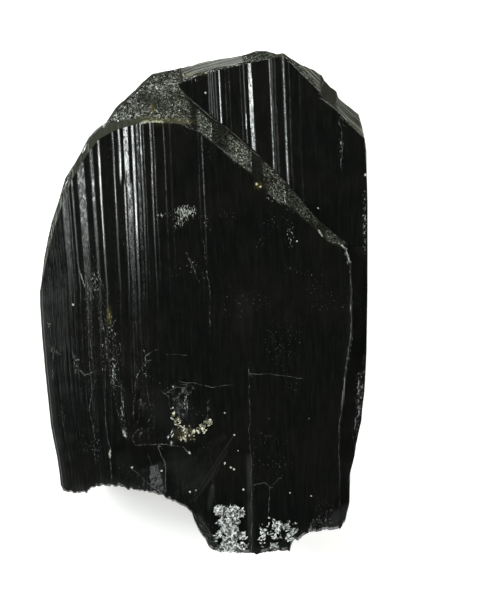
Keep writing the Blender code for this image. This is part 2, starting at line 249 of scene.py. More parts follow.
def column_x(c, y):
    """Where column c (its x at COLUMN_AT) runs at height y: it leans with the left side by a share that fades
    to the right, and with the right side by a share that grows there."""
    left_share = np.interp(c, [-21.2, -17, -12.5, -8, 0, 2, 5, 10, 15, 19.5],
                           [1, 0.72, 0.5, 0.38, 0.36, 0.45, 0.45, 0.33, 0.12, 0])
    right_share = np.interp(c, [8, 19.5], [0, 1])
    left_move = on_line(LEFT_SIDE, y) - on_line(LEFT_SIDE, COLUMN_AT)
    right_move = on_line(RIGHT_SIDE, y) - on_line(RIGHT_SIDE, COLUMN_AT)
    return c + left_share * left_move + right_share * right_move


def crossing(line, columns, from_below=False):
    """The height at which each column last meets a line y(x) going up, or first meets it from below: the sign
    change on a fine ladder of heights, put on the line by a linear step."""
    ladder = np.linspace(-33, 33, 2641)[None, :]  # 0.025 apart
    over = ladder - on_line(line, column_x(columns[:, None], ladder))
    if from_below:
        k = np.argmax(over > 0, axis=1)
    else:
        k = ladder.shape[1] - np.argmax(over[:, ::-1] < 0, axis=1)
    rows = np.arange(len(columns))
    a, b = over[rows, k - 1], over[rows, k]
    return ladder[0, k - 1] + (ladder[0, 1] - ladder[0, 0]) * np.clip(a / (a - b), 0, 1)


def terrace_height(slopes, c):
    """Height of a face whose slope in degrees changes linearly between places: the slopes' running sum."""
    places = np.linspace(-22.5, 20.5, 1721)
    climb = np.tan(np.radians(on_line(slopes, places))) * (places[1] - places[0])
    return np.interp(c, places, np.cumsum(climb))


def stepped(c, y, steps, slopes, anchor):
    """Height of a striated face above its value at the anchor: gentle terraces plus a straight ramp for each
    growth step, as high as its width times the tangent of its slope. The slope and how satiny it is fade
    towards the foot."""
    z = terrace_height(slopes, c) - terrace_height(slopes, anchor)
    satin = 0 * z
    kept = on_line(STEP_FADE, y)
    for left, right, slope, sheen, *length in steps:
        low, high = length or WHOLE_LENGTH
        reach = ease(low - 0.3, low + 0.3, y) * (1 - ease(high - 0.3, high + 0.3, y))
        seed = int(left * 50) + 2000
        uneven = 1 + 0.05 * grain(0 * y, y, 2.2, seed + 7)
        rise = (right - left) * np.tan(np.radians(slope * kept * uneven)) * reach
        wander = 0.05 * grain(0 * y, y, 6.0, seed)
        ramp = np.clip((c - left - wander) / (right - left), 0, 1)
        z = z + rise * (ramp - (1.0 if anchor > left else 0.0))
        satin = np.maximum(satin, sheen * reach * ((ramp > 0) & (ramp < 1)))
    return z, satin * (0.1 + 0.9 * kept)


def front_face(c, y):
    """The front plate's striated face, turned down steeply along the left side."""
    z, satin = stepped(c, y, FRONT_STEPS, FRONT_TERRACE, FRONT_ANCHOR)
    bevel = np.maximum(LEFT_BEVEL_END - c, 0) * slope_of(LEFT_BEVEL_SLOPE)
    return FRONT_Z + z - bevel, satin


def rear_face(c, y):
    """The rear plate's striated face."""
    z, satin = stepped(c, y, REAR_STEPS, REAR_TERRACE, REAR_ANCHOR)
    return REAR_Z + z, satin


def main_columns():
    """Columns: every step's two edges, with even columns between them, denser where the steps are fine."""
    fixed = {OUTER_COLUMN, LEFT_BEVEL_END, HALF_WIDTH}
    for left, right, *_ in FRONT_STEPS + REAR_STEPS:
        fixed |= {left, right}
    fixed = np.array(sorted(fixed))
    gaps = np.diff(fixed)
    share = gaps * np.interp((fixed[1:] + fixed[:-1]) / 2, [-21, -6, -4, 20], [1.35, 1.35, 1.0, 0.85])
    counts = np.maximum(1, np.floor((COLUMNS - 1) * share / share.sum())).astype(int)
    while counts.sum() < COLUMNS - 1:
        counts[np.argmax(share / counts)] += 1
    while counts.sum() > COLUMNS - 1:
        counts[np.argmax(np.where(counts > 1, counts / share, 0))] -= 1
    pieces = [a + (b - a) * np.arange(n) / n for a, b, n in zip(fixed[:-1], fixed[1:], counts)]
    return np.concatenate(pieces + [fixed[-1:]])


# The shell-shaped fracture over the foot: its upper edge as (x, y), its left edge as (y, x), the ridge that
# bounds it on the right, the x it never passes, how steeply it falls from its edges, and how deep it gets.
FRACTURE_TOP = [
    (-11.2, -17.8), (-9.4, -16.3), (-8.4, -17.0), (-7.7, -17.35), (-4.7, -17.1), (-2.3, -17.5),
    (-0.5, -16.9), (2.5, -16.3), (4.9, -16.9),
]
FRACTURE_LEFT = [(-31, -10.6), (-22, -10.75), (-17, -11.2)]
FRACTURE_RIGHT = ((2.8, -18.06), (-1.44, -23.94))
FRACTURE_END = 5.0
FRACTURE_SLOPE = 15
FRACTURE_DEPTH = 2.2
# Roof-shaped ridges on the fracture, as (from, to, width on the left, on the right, slope of the left side):
# each starts narrow and widens to its end.
RIDGES = [
    ((-6.0, -17.6), (-4.4, -22.9), 0.95, 2.1, 12.5), ((-8.6, -19.8), (-5.0, -22.9), 0.25, 0.5, 8.0),
    ((2.76, -18.2), (-1.9, -24.3), 0.5, 0.25, 10.0), ((2.0, -19.6), (-0.9, -22.6), 0.3, 0.2, 10.0),
    ((1.2, -21.8), (0.6, -25.0), 0.6, 0.5, 12.0), ((-1.2, -25.4), (1.1, -29.2), 0.3, 0.2, 20.0),
    ((-0.6, -24.9), (1.9, -29.2), 0.25, 0.3, 14.0),
]
SCAR_MIDDLE, SCAR_RADII = (-3.6, -13.3), (4.3, 3.9)
SCAR_DEPTH = 0.4
CRACK_REACH = 0.42
CORNER_BREAK = ((13.6, -25.5), (0.42, -0.91), 24)  # a point on its upper edge, the way it faces, its slope
CORNER_FROM = 12.2
CRUMBLED = ((15.9, -24.1), (12.9, -27.5))  # the rough line along the corner break
EDGE_CHIPS = [((19.6, -12.4), (1.4, 5.2), 1.2), ((18.5, -20.8), (1.1, 3.2), 0.7)]  # middle, radii, depth

# Cracks, scratches and bruised lines, as (half width, strength, points). A weak one is a faint thread, a
# strong one is crushed white. A few strong ones are painted glints, and two along the front crest are its
# painted highlight.
CRACKS = [
    (0.10, 0.62, [(-15.3, 5.5), (-14.7, 3.35), (-14.34, 2.3), (-13.9, 1.2), (-13.9, -1.75),
        (-13.7, -4.5), (-13.3, -7.0), (-12.96, -9.4), (-13.3, -11.0), (-13.7, -12.8), (-13.07, -15.9),
        (-12.96, -18.9)]),
    (0.12, 0.9, [(-14.7, 3.3), (-14.34, 2.3), (-14.1, 1.7)]),
    (0.11, 0.6, [(-13.3, 5.7), (-12.86, 4.4), (-12.23, 2.5), (-11.8, 0.4)]),
    (0.10, 0.55, [(-12.76, 0.0), (-12.0, -3.2)]), (0.12, 0.7, [(-11.48, -1.1), (-10.96, -3.65)]),
    (0.08, 0.6, [(-10.85, -6.4), (-10.8, -8.2), (-10.74, -9.6)]),
    (0.10, 0.7, [(-10.6, -10.0), (-9.9, -10.2)]),
    (0.07, 0.55, [(-9.9, -10.6), (-9.7, -13.8), (-9.36, -15.9)]),
    (0.10, 0.7, [(-10.1, -4.5), (-9.7, -6.2)]),
    (0.07, 0.4, [(-11.8, -8.3), (-11.8, -13.8), (-11.2, -17.6), (-11.1, -21.0)]),
    # The two below are painted glints, pale in colour.
    (0.14, 1.0, [(-11.22, -17.8), (-11.2, -18.6)]), (0.14, 1.0, [(-9.6, -15.5), (-9.4, -16.1)]),
    (0.12, 0.5, [(-15.2, -6.6), (-15.1, -7.9), (-14.3, -8.75), (-12.96, -8.3)]),
    (0.10, 0.45, [(-15.6, -6.2), (-15.2, -7.4), (-15.4, -8.6)]),
    (0.11, 0.6, [(-7.14, -5.5), (-7.0, -6.6), (-5.9, -5.9)]),
    (0.12, 0.62, [(-6.7, -7.0), (-7.56, -8.1), (-8.2, -9.6), (-8.25, -10.9), (-8.3, -13.8)]),
    (0.07, 0.6, [(-6.8, -9.4), (-6.7, -11.3), (-6.2, -12.8)]),
    (0.09, 0.55, [(-5.65, -12.5), (-6.5, -14.0), (-7.14, -14.9), (-8.4, -15.9), (-8.5, -16.5),
        (-8.2, -17.1)]),
    (0.10, 0.65, [(-8.2, -17.1), (-6.7, -17.05), (-5.0, -17.0), (-3.7, -17.2), (-2.26, -17.4),
        (-1.73, -18.1)]),
    (0.08, 0.6, [(-6.6, -14.1), (-7.1, -14.8)]), (0.09, 0.8, [(-2.5, -17.3), (-1.73, -18.1)]),
    (0.10, 0.6, [(-4.6, -11.0), (-4.16, -11.3), (-4.16, -12.1), (-3.74, -13.6), (-3.3, -14.5)]),
    (0.08, 0.45, [(-4.6, -11.0), (-3.4, -10.3), (-2.4, -10.2), (-1.9, -10.7)]),
    (0.07, 0.45, [(-2.2, -10.6), (-2.05, -13.2)]),
    (0.06, 0.4, [(-2.7, -9.6), (-1.6, -9.7), (1.1, -10.2), (3.2, -9.9)]),
    (0.06, 0.25, [(-4.5, -6.4), (-3.4, -6.35), (-2.0, -6.55)]),
    (0.06, 0.28, [(5.6, -8.6), (8.2, -8.7), (11.5, -9.15)]),
    (0.15, 0.75, [(-1.84, 5.3), (-1.3, 4.0), (-0.8, 2.7)]),
    (0.09, 0.55, [(0.07, 6.9), (0.2, 4.6), (0.6, 2.3), (0.82, 0.4), (0.7, -3.4)]),
    (0.06, 0.5, [(5.4, -7.6), (5.41, -11.8), (5.5, -18.7)]), (0.05, 0.3, [(5.62, -18.7), (5.75, -29.6)]),
    (0.17, 1.0, [(16.4, 6.75), (17.0, 6.3), (17.3, 5.2), (17.45, 4.7)]),
    (0.10, 0.7, [(17.5, 4.7), (17.6, 1.4)]),
    (0.09, 0.4, [(17.6, 1.4), (17.6, -3.8), (17.2, -6.2), (16.8, -9.3), (16.2, -15)]),
    # The second below is a painted glint on a step.
    (0.07, 0.3, [(16.2, -15), (16.12, -17.6), (16.25, -21.5)]), (0.14, 1.0, [(13.66, 8.45), (14.16, 7.9)]),
    (0.09, 0.5, [(5.65, -21.9), (7.3, -21.6), (7.9, -22.1), (9.1, -21.1)]),
    (0.07, 0.35, [(7.87, -22.1), (7.7, -25.5)]), (0.08, 0.5, [(17.75, -14.8), (17.95, -17.7)]),
    (0.10, 0.5, [(-18.4, -5.3), (-18.1, -6.2), (-18.05, -9.4)]),
    (0.06, 0.4, [(-18.4, -5.3), (-17.3, -6.2)]),
    (0.09, 0.5, [(16.07, 21.5), (16.5, 20.5), (16.6, 18.7), (16.4, 16.1)]),
    # The next two, from (-7.45, 21.35) to (-1.3, 20.5), are the painted highlight along the front crest.
    (0.26, 1.0, [(-7.45, 21.35), (-6.2, 21.48), (-5.0, 21.44)]),
    (0.15, 0.75, [(-5.0, 21.44), (-2.5, 21.2), (-1.3, 20.5)]), (0.08, 0.4, [(-7.2, 25.8), (-3.1, 25.75)]),
    (0.08, 0.3, [(-9.9, 25.1), (-7.2, 25.8)]),
    (0.08, 0.4, [(-1.9, 24.4), (-0.9, 23.5), (1.0, 22.0), (4.0, 19.7), (6.6, 17.3)]),
    (0.10, 0.4, [(0.7, 19.35), (2.7, 17.7), (5.2, 15.7)]), (0.16, 0.45, [(7.8, 12.9), (8.9, 11.9)]),
    (0.08, 0.5, [(13.9, 25.15), (14.35, 26.6)]), (0.09, 0.6, [(15.75, 23.5), (16.0, 25.0)]),
    (0.12, 0.5, [(14.3, 24.15), (16.1, 22.65), (19.2, 19.55)]), (0.09, 0.4, [(10.2, 28.7), (13.9, 25.15)]),
    (0.06, 0.25, [(-8.5, -20.0), (-5.1, -22.9)]), (0.06, 0.35, [(1.05, -21.8), (1.2, -23.4)]),
    (0.08, 0.45, [(-1.1, -25.3), (0.0, -27.6), (0.9, -29.1)]), (0.08, 0.45, [(-0.6, -25.4), (1.5, -28.9)]),
    (0.07, 0.3, [(-5.4, -17.3), (-4.6, -19.6), (-4.45, -22.7)]),
    (0.05, 0.2, [(-6.5, -18.4), (-5.3, -21.6)]),
    (0.06, 0.6, [(-14.2, 3.2), (-12.9, -0.5), (-11.9, -4.5), (-11.2, -8.5), (-10.4, -12.5), (-9.6, -16.0)]),
    (0.05, 0.55, [(-12.0, 2.4), (-11.2, -2.0), (-10.4, -6.0), (-9.9, -10.0), (-9.45, -13.4),
        (-9.1, -16.4)]),
    (0.05, 0.5, [(-13.4, 4.0), (-12.3, -1.0), (-11.5, -6.0), (-11.0, -10.5)]),
]
# Patches of fine bright specks on the faces, as (middle, radii, strength).
SPECKLES = [
    ((-5.0, 10.2), (0.9, 0.6), 0.65), ((-2.15, 10.7), (1.5, 0.85), 1.0), ((-2.9, 9.3), (0.9, 0.6), 0.7),
    ((0.3, 9.6), (0.4, 0.9), 0.5), ((0.75, 8.3), (0.35, 0.25), 0.8), ((-1.3, 4.2), (0.8, 1.1), 0.45),
    ((9.4, -5.0), (3.6, 5.0), 0.22), ((16.4, 18.4), (0.35, 2.4), 0.5), ((10.3, 8.0), (0.6, 1.9), 0.45),
    ((8.2, 12.4), (0.9, 0.8), 0.5), ((8.0, 9.5), (1.4, 1.2), 0.25), ((-15.2, -7.4), (0.7, 1.1), 0.45),
    ((-12.9, 2.4), (0.7, 1.8), 0.5), ((-11.0, -3.4), (0.8, 2.6), 0.45), ((-10.4, -8.4), (0.6, 1.8), 0.4),
    ((-9.7, -13.4), (0.4, 2.6), 0.5), ((-12.8, -17.0), (0.4, 2.4), 0.4), ((-3.3, -12.3), (0.8, 1.9), 0.3),
    ((-0.9, -13.4), (1.6, 1.3), 0.22), ((15.0, -24.6), (1.2, 1.4), 0.24), ((8.8, -19.4), (2.4, 1.6), 0.24),
    ((19.2, 9.5), (0.3, 4.5), 0.6), ((12.6, -13.8), (0.25, 0.6), 0.5), ((7.8, -14.0), (0.2, 0.7), 0.35),
    ((-18.5, -2.7), (0.35, 0.5), 0.5), ((-2.1, -11.9), (0.3, 1.5), 0.7), ((-10.8, -8.0), (0.3, 2.2), 0.45),
    ((14.2, -26.3), (1.8, 0.6), 0.5), ((4.2, 17.7), (1.5, 1.5), 0.5), ((-1.4, 26.7), (1.1, 0.5), 0.55),
    ((-7.0, -8.2), (0.5, 1.5), 0.4), ((-12.0, -6.5), (0.5, 3.0), 0.35), ((-13.6, -3.0), (0.6, 3.5), 0.3),
    ((18.7, -11.0), (0.8, 2.6), 0.5), ((18.4, -15.6), (0.4, 2.2), 0.4),
]
# Lone bright specks, as (x, y, radius).
SPECKS = [
    (-8.57, -19.8, 0.14), (-5.05, -20.2, 0.12), (-1.72, -18.05, 0.15), (2.53, -19.3, 0.12),
    (3.24, -19.8, 0.12), (3.6, -20.0, 0.12), (4.7, -22.4, 0.12), (7.77, -25.8, 0.12), (-15.6, -0.36, 0.13),
    (3.64, -15.9, 0.1), (10.3, -22.8, 0.09), (12.8, -23.2, 0.09), (0.18, 25.0, 0.11), (2.5, -13.3, 0.11),
    (13.66, 11.15, 0.09), (6.3, 14.0, 0.14), (6.75, 13.7, 0.12), (9.85, 18.85, 0.1), (-1.65, -22.7, 0.12),
    (-0.9, -22.5, 0.08), (11.1, 7.2, 0.09), (-9.4, -16.0, 0.12), (-2.3, -15.2, 0.1), (19.3, 15.1, 0.16),
    (4.1, -17.8, 0.08),
]
# Worn places on the grained faces, a little darker and flatter, as (middle, radii, strength).
WORN = [((-7.2, 24.3), (1.6, 0.8), 1.0), ((-5.4, 23.6), (1.1, 0.8), 0.8), ((-3.6, 24.3), (0.7, 0.8), 0.5)]
# Yellowish brown stains, as (middle, radii, strength). The two that lie along the front crest, round y 21.5,
# are partly the painted highlight's yellow tint.
STAINS = [
    ((-5.2, 21.7), (2.8, 0.35), 0.8), ((-1.9, 27.1), (0.7, 0.35), 1.0), ((-6.1, 23.0), (0.4, 0.8), 0.9),
    ((6.5, 13.85), (0.4, 0.3), 1.4), ((-11.3, -1.7), (0.3, 0.9), 1.0), ((-2.3, -15.8), (1.2, 0.8), 0.6),
    ((-0.2, 27.3), (1.0, 0.25), 0.5), ((-2.2, 21.5), (1.2, 0.3), 0.7), ((9.6, 29.4), (0.6, 0.3), 0.6),
]
# Painted sheen: hazy, lighter bands on the polished break and the rib, painted into the colour where a faint
# grey sheen would show, as (from, to, half width, strength).
PAINTED_SHEEN_BANDS = [
    ((5.42, -18.6), (5.6, -30.0), 0.34, 1.0), ((1.0, -22.2), (0.7, -24.6), 0.3, 0.8),
    ((-0.6, -25.9), (1.2, -29.0), 0.5, 0.8), ((14.6, -27.0), (17.4, -25.6), 1.3, 2.0),
    ((17.4, -8.0), (17.0, -26.0), 0.9, 0.3), ((18.6, 9.0), (17.6, -8.0), 0.9, 0.25),
    ((-19.3, 0.5), (-19.0, -4.6), 0.55, 0.85), ((-19.0, -4.6), (-17.9, -15.4), 0.55, 0.95),
    ((-17.9, -15.4), (-16.8, -22.4), 0.65, 0.8), ((-0.5, -17.8), (2.4, -16.2), 0.35, 0.3),
    ((4.8, 0.2), (4.9, -3.2), 1.1, 0.25), ((-3.0, -19.0), (-1.5, -21.0), 1.6, 0.35),
    ((-9.5, -19.0), (-8.0, -21.0), 1.2, 0.2), ((-5.3, -19.6), (-5.0, -22.4), 0.5, 0.5),
    ((3.6, -15.9), (-1.6, -23.9), 0.07, 0.9), ((2.7, -18.0), (-1.1, -23.8), 0.07, 1.1),
    ((1.9, -19.9), (-0.9, -23.4), 0.06, 0.8), ((-4.4, -12.6), (-2.8, -14.0), 2.4, 0.45),
    ((19.0, -8.5), (18.5, -14.5), 0.6, 0.6),
]


def crease(x, y, ends):
    """Signed distance from the line through two ends, positive on its right."""
    (ax, ay), (bx, by) = ends
    length = math.hypot(bx - ax, by - ay)
    return ((x - ax) * (by - ay) - (y - ay) * (bx - ax)) / length


def part_way(x, y, start, end):
    """How far each place is along a straight run between two points, from 0 at its start to 1 at its end."""
    (ax, ay), (bx, by) = start, end
    return ((x - ax) * (bx - ax) + (y - ay) * (by - ay)) / ((bx - ax) ** 2 + (by - ay) ** 2)


def to_segment(x, y, start, end):
    """Distance of each place from a straight run between two points."""
    share = np.clip(part_way(x, y, start, end), 0, 1)
    (ax, ay), (bx, by) = start, end
    return np.hypot(x - ax - share * (bx - ax), y - ay - share * (by - ay))


def cracked(x, y):
    """How far each place is from the nearest crack, in half widths of that crack and negative on its left,
    and how strong the cracks near it are: their strength times a bell that is wider than they are."""
    nearest, across, power = np.full_like(x, 9.0), np.full_like(x, 9.0), 0 * x
    x, y = x + 0.11 * grain(x, y, 1.1, 81), y + 0.08 * grain(x, y, 1.1, 82)
    for width, strength, points in CRACKS:
        for ends in zip(points[:-1], points[1:]):
            away = to_segment(x, y, *ends)
            closer = away / width < nearest
            nearest = np.where(closer, away / width, nearest)
            across = np.where(closer, np.sign(crease(x, y, ends)) * away / width, across)
            power = np.maximum(power, strength * np.exp(-(away / CRACK_REACH) ** 2))
    return across, power


def spotted(x, y, spots):
    """Strength of some patches: a soft oval for each, added up."""
    result = 0 * x
    for (cx, cy), (rx, ry), strength in spots:
        result += strength * np.exp(-(((x - cx) / rx) ** 2 + ((y - cy) / ry) ** 2) ** 1.5)
    return np.minimum(result, 1)


def painted_sheen_strength(x, y):
    """Strength of the painted sheen bands: a bell across each band, patchy along it."""
    result = 0 * x
    patchy = 0.75 + 0.35 * grain(x, y, 1.3, 91)
    for start, end, width, strength in PAINTED_SHEEN_BANDS:
        result = np.maximum(result, strength * patchy * np.exp(-(to_segment(x, y, start, end) / width) ** 4))
    return result


def fracture(x, y):
    """How far the shell-shaped fracture has gone under the old face: the least distance inside its three
    edges, turned into a shallow bowl that flattens as it deepens, with roof-shaped ridges on it."""
    inside = np.minimum(on_line(FRACTURE_TOP, x) - y, x - on_line(FRACTURE_LEFT, y))
    inside = np.minimum(inside, 0.35 * (crease(x, y, FRACTURE_RIGHT) + 0.4 * np.maximum(-24 - y, 0)))
    inside = np.where(x > FRACTURE_END, 0, np.maximum(inside, 0))
    bowl = FRACTURE_DEPTH * (1 - np.exp(-inside * slope_of(FRACTURE_SLOPE) / FRACTURE_DEPTH))
    bowl += 0.05 * grain(x, y, 3.2, 35) * ease(0, 1.5, inside)
    for start, end, left, right, climb in RIDGES:
        share = part_way(x, y, start, end)
        grown = (0.25 + 0.75 * np.clip(share, 0, 1)) * ease(-0.05, 0.03, share) * (1 - ease(1.0, 1.15, share))
        off = crease(x, y, (start, end)) / np.maximum(grown, 0.01)
        roof = np.clip(1 - np.maximum(-off / left, off / right), 0, 1)
        bowl -= left * slope_of(climb) * grown * roof * ease(0, 0.3, inside)
    return np.maximum(bowl, 0) * (inside > 0), ease(0, 0.12, inside)


def scar(x, y):
    """Depth and roughness of the rough pit: an uneven oval with ragged steps of noise inside."""
    ragged = 0.3 * grain(x, y, 1.6, 31) + 0.12 * grain(x, y, 0.45, 32)
    reach = np.hypot((x - SCAR_MIDDLE[0]) / SCAR_RADII[0], (y - SCAR_MIDDLE[1]) / SCAR_RADII[1]) + ragged
    inside = 1 - ease(0.75, 1.0, reach)
    lumps = 0.5 + 0.3 * grain(x, y, 1.9, 33) + 0.05 * grain(x, y, 0.7, 34)
    shallow_right = 1 - 0.7 * ease(-3.4, -0.6, x)
    return inside * SCAR_DEPTH * lumps * shallow_right, inside


def edge_chips(x, y):
    """Depth of the chips in the right edge: ragged bowls."""
    depth, inside = 0 * x, 0 * x
    for (cx, cy), (rx, ry), deep in EDGE_CHIPS:
        reach = np.hypot((x - cx) / rx, (y - cy) / ry)
        reach = reach + 0.3 * grain(x, y, 0.9, 41) + 0.12 * grain(x, y, 0.4, 42)
        bowl = np.clip(1 - reach, 0, 1)
        depth = np.maximum(depth, deep * bowl ** 0.7)
        inside = np.maximum(inside, ease(0.0, 0.15, bowl))
    return depth, inside


def corner_break(x, y, z):
    """Height of the flat break at the lower right corner."""
    (px, py), (nx, ny), slope = CORNER_BREAK
    out = (x - px) * nx + (y - py) * ny + 0.12 * grain(x, y, 0.7, 51)
    out *= ease(CORNER_FROM, CORNER_FROM + 1.5, x + 0.3 * grain(x, y, 0.8, 52))
    gone = out > 0.01
    return np.where(gone, z - out * slope_of(slope), z), gone


def front_rows(c):
    """Where each column's vertices lie along Y: bands of rows from the foot to the tip's rim that end on the
    crest lines, so that each crest falls on a row."""
    foot = crossing(FOOT_LINE, c, from_below=True)
    foot = foot + 0.13 * grain(c, 0 * c, 0.5, 63) + 0.09 * grain(c, 0 * c, 0.22, 64)
    rim = crossing(TIP_LINE, c) - 0.05 * (1 + grain(c, 0 * c, 0.45, 66))
    least = 0.012  # bands keep at least this height where crest lines meet
    rear_crest = np.minimum(crossing(REAR_CREST, c), rim - least)
    rear_foot = np.minimum(crossing(REAR_FOOT, c), rear_crest - 3 * least)
    crest = np.minimum(crossing(FRONT_CREST, c), rear_foot - least)
    guard = np.minimum(GUARD, 0.3 * (rear_crest - rear_foot))
    levels = [np.full_like(c, mark) for mark in ROW_MARKS]
    marks = [foot, *levels, crest - GUARD, crest]
    marks += [rear_foot, rear_foot + guard, rear_crest - guard, rear_crest, rim]
    rows = [low + (high - low) * (np.arange(count) / count)[:, None]
            for low, high, count in zip(marks[:-1], marks[1:], FRONT_ROWS)]
    return np.vstack(rows + [rim[None, :]])


def unbroken_front(c, x, y, off_edge):
    """Height of the front before anything broke off, and how satiny it is: the front plate's face down to the
    rear plate's past its right edge, a ramp of hollow blocks where they meet, the rear plate's face, and the
    tip's faces as straight ramps to the rim."""
    past = np.clip(off_edge / STEP_WIDTH, 0, 1)
    rear, rear_satin = rear_face(c, y)
    plate, satin = front_face(c, y)
    side = rear - (SIDE_DROP + SIDE_FALL * np.maximum(off_edge, 0)) * ease(0, 9, SIDE_TOP - y)
    z = plate * (1 - past) + np.minimum(side, plate) * past
    rim_z = on_line(TIP_RIM, x[-1])
    z[REAR] = np.where(x[REAR] < REAR_FROM, rim_z + LEDGE_OVER_RIM, rear[REAR])
    satin[STRIP] = 0
    satin[REAR] = rear_satin[REAR]
    satin[BEVEL] = 0
    up = y[STRIP] - y[CREST_ROW]
    hollow = on_line(STRIP_BLOCKS[:, [0, 2]], x[STRIP])
    z[STRIP] = z[CREST_ROW] + (z[FOOT_ROW] - z[CREST_ROW]) * (up / up[-1]) ** hollow
    up = y[BEVEL] - y[BEVEL_ROW]
    z[BEVEL] = z[BEVEL_ROW] + (np.minimum(rim_z, z[BEVEL_ROW] - 0.02) - z[BEVEL_ROW]) * up / up[-1]
    return z, satin


def grained(x, y):
    """How grained and how fluted the faces over the crest are: the strip by its blocks, between ragged lips,
    the rear plate's face on the left, and the tip's faces, grained on their ledge and fluted above it."""
    frost, fluted = np.zeros_like(y), np.zeros_like(y)
    up = y[STRIP] - y[CREST_ROW]
    ragged = 0.18 * grain(x, y, 0.6, 13)[STRIP]
    over_lip = ease(0.5, 1.0, up / on_line(LOWER_LIP, x[STRIP]) + ragged)
    under_lip = ease(0.6, 1.0, (up[-1] - up) / (on_line(UPPER_LIP, x[STRIP]) + 0.05) + ragged)
    frost[STRIP] = on_line(STRIP_BLOCKS[:, :2], x[STRIP] + 0.3 * ragged) * (over_lip * under_lip)
    frost[REAR] = GRAINED * (1 - ease(-3.3, -2.8, x[REAR]))
    up = (y[BEVEL] - y[BEVEL_ROW]) / on_line(LEDGE, x[BEVEL])
    frost[BEVEL] = GRAINED * (1 - ease(0.8, 1.1, up + 0.3 * grain(x, y, 0.6, 14)[BEVEL]))
    frost[BEVEL] *= on_line(LEDGE_GRAIN, x[BEVEL])
    fluted[BEVEL] = on_line(FLUTES, x[BEVEL]) * (1 - frost[BEVEL])
    return frost, fluted


def broken_front(x, y, z, face):
    """Height of the front after every break in it, and how far each place lies in each break."""
    fall, polished = fracture(x, y)
    pit, in_scar = scar(x, y)
    chip, in_chip = edge_chips(x, y)
    off_fracture = fall < 0.05
    z = z - face * (fall + pit * off_fracture + chip)
    z, in_corner = corner_break(x, y, z)
    crumbled = 1 - ease(0.35, 0.75, to_segment(x, y, *CRUMBLED) + 0.2 * grain(x, y, 0.7, 71))
    z = z - face * crumbled * (0.12 + 0.12 * grain(x, y, 0.5, 72))
    nibble = 0.22 + 0.22 * grain(x, y, 0.45, 61)
    nibbled = 1 - ease(0, 1, (y - y[0]) / np.maximum(nibble, 0.03))
    z = z - face * nibbled * (0.35 + 0.25 * grain(x, y, 0.35, 62))
    return z, SimpleNamespace(polished=polished, scar=in_scar, chip=in_chip, corner=in_corner,
                              crumbled=crumbled, nibbled=nibbled)


def tints(c, x, y, smooth_rim, step_face, chips, fluted):
    """How far each place shines as one sheet, and how olive it is."""
    lean, olive = np.zeros_like(y), np.zeros_like(y)
    ends_at = on_line(STRIP_END, x[STRIP])
    lean[STRIP] = on_line(STRIP_LEAN, x[STRIP]) * ends_at
    lean[BEVEL] = on_line(TIP_LEAN, x[BEVEL])
    olive[STRIP] = on_line(STRIP_OLIVE, x[STRIP]) * ends_at
    olive[BEVEL] = np.maximum(0.45 * lean, 0.6 * fluted)[BEVEL]
    beside = c < LEFT_BEVEL_END
    lean, olive = np.where(beside, 0.9, lean), np.where(beside, 0.4, olive)
    lean, olive = np.maximum(lean, 1.1 * smooth_rim), np.maximum(olive, 0.9 * smooth_rim)
    lean = np.maximum(lean, 0.8 * chips)
    return np.maximum(lean, 4 * step_face * (1 - ease(-17, -8, y))), olive


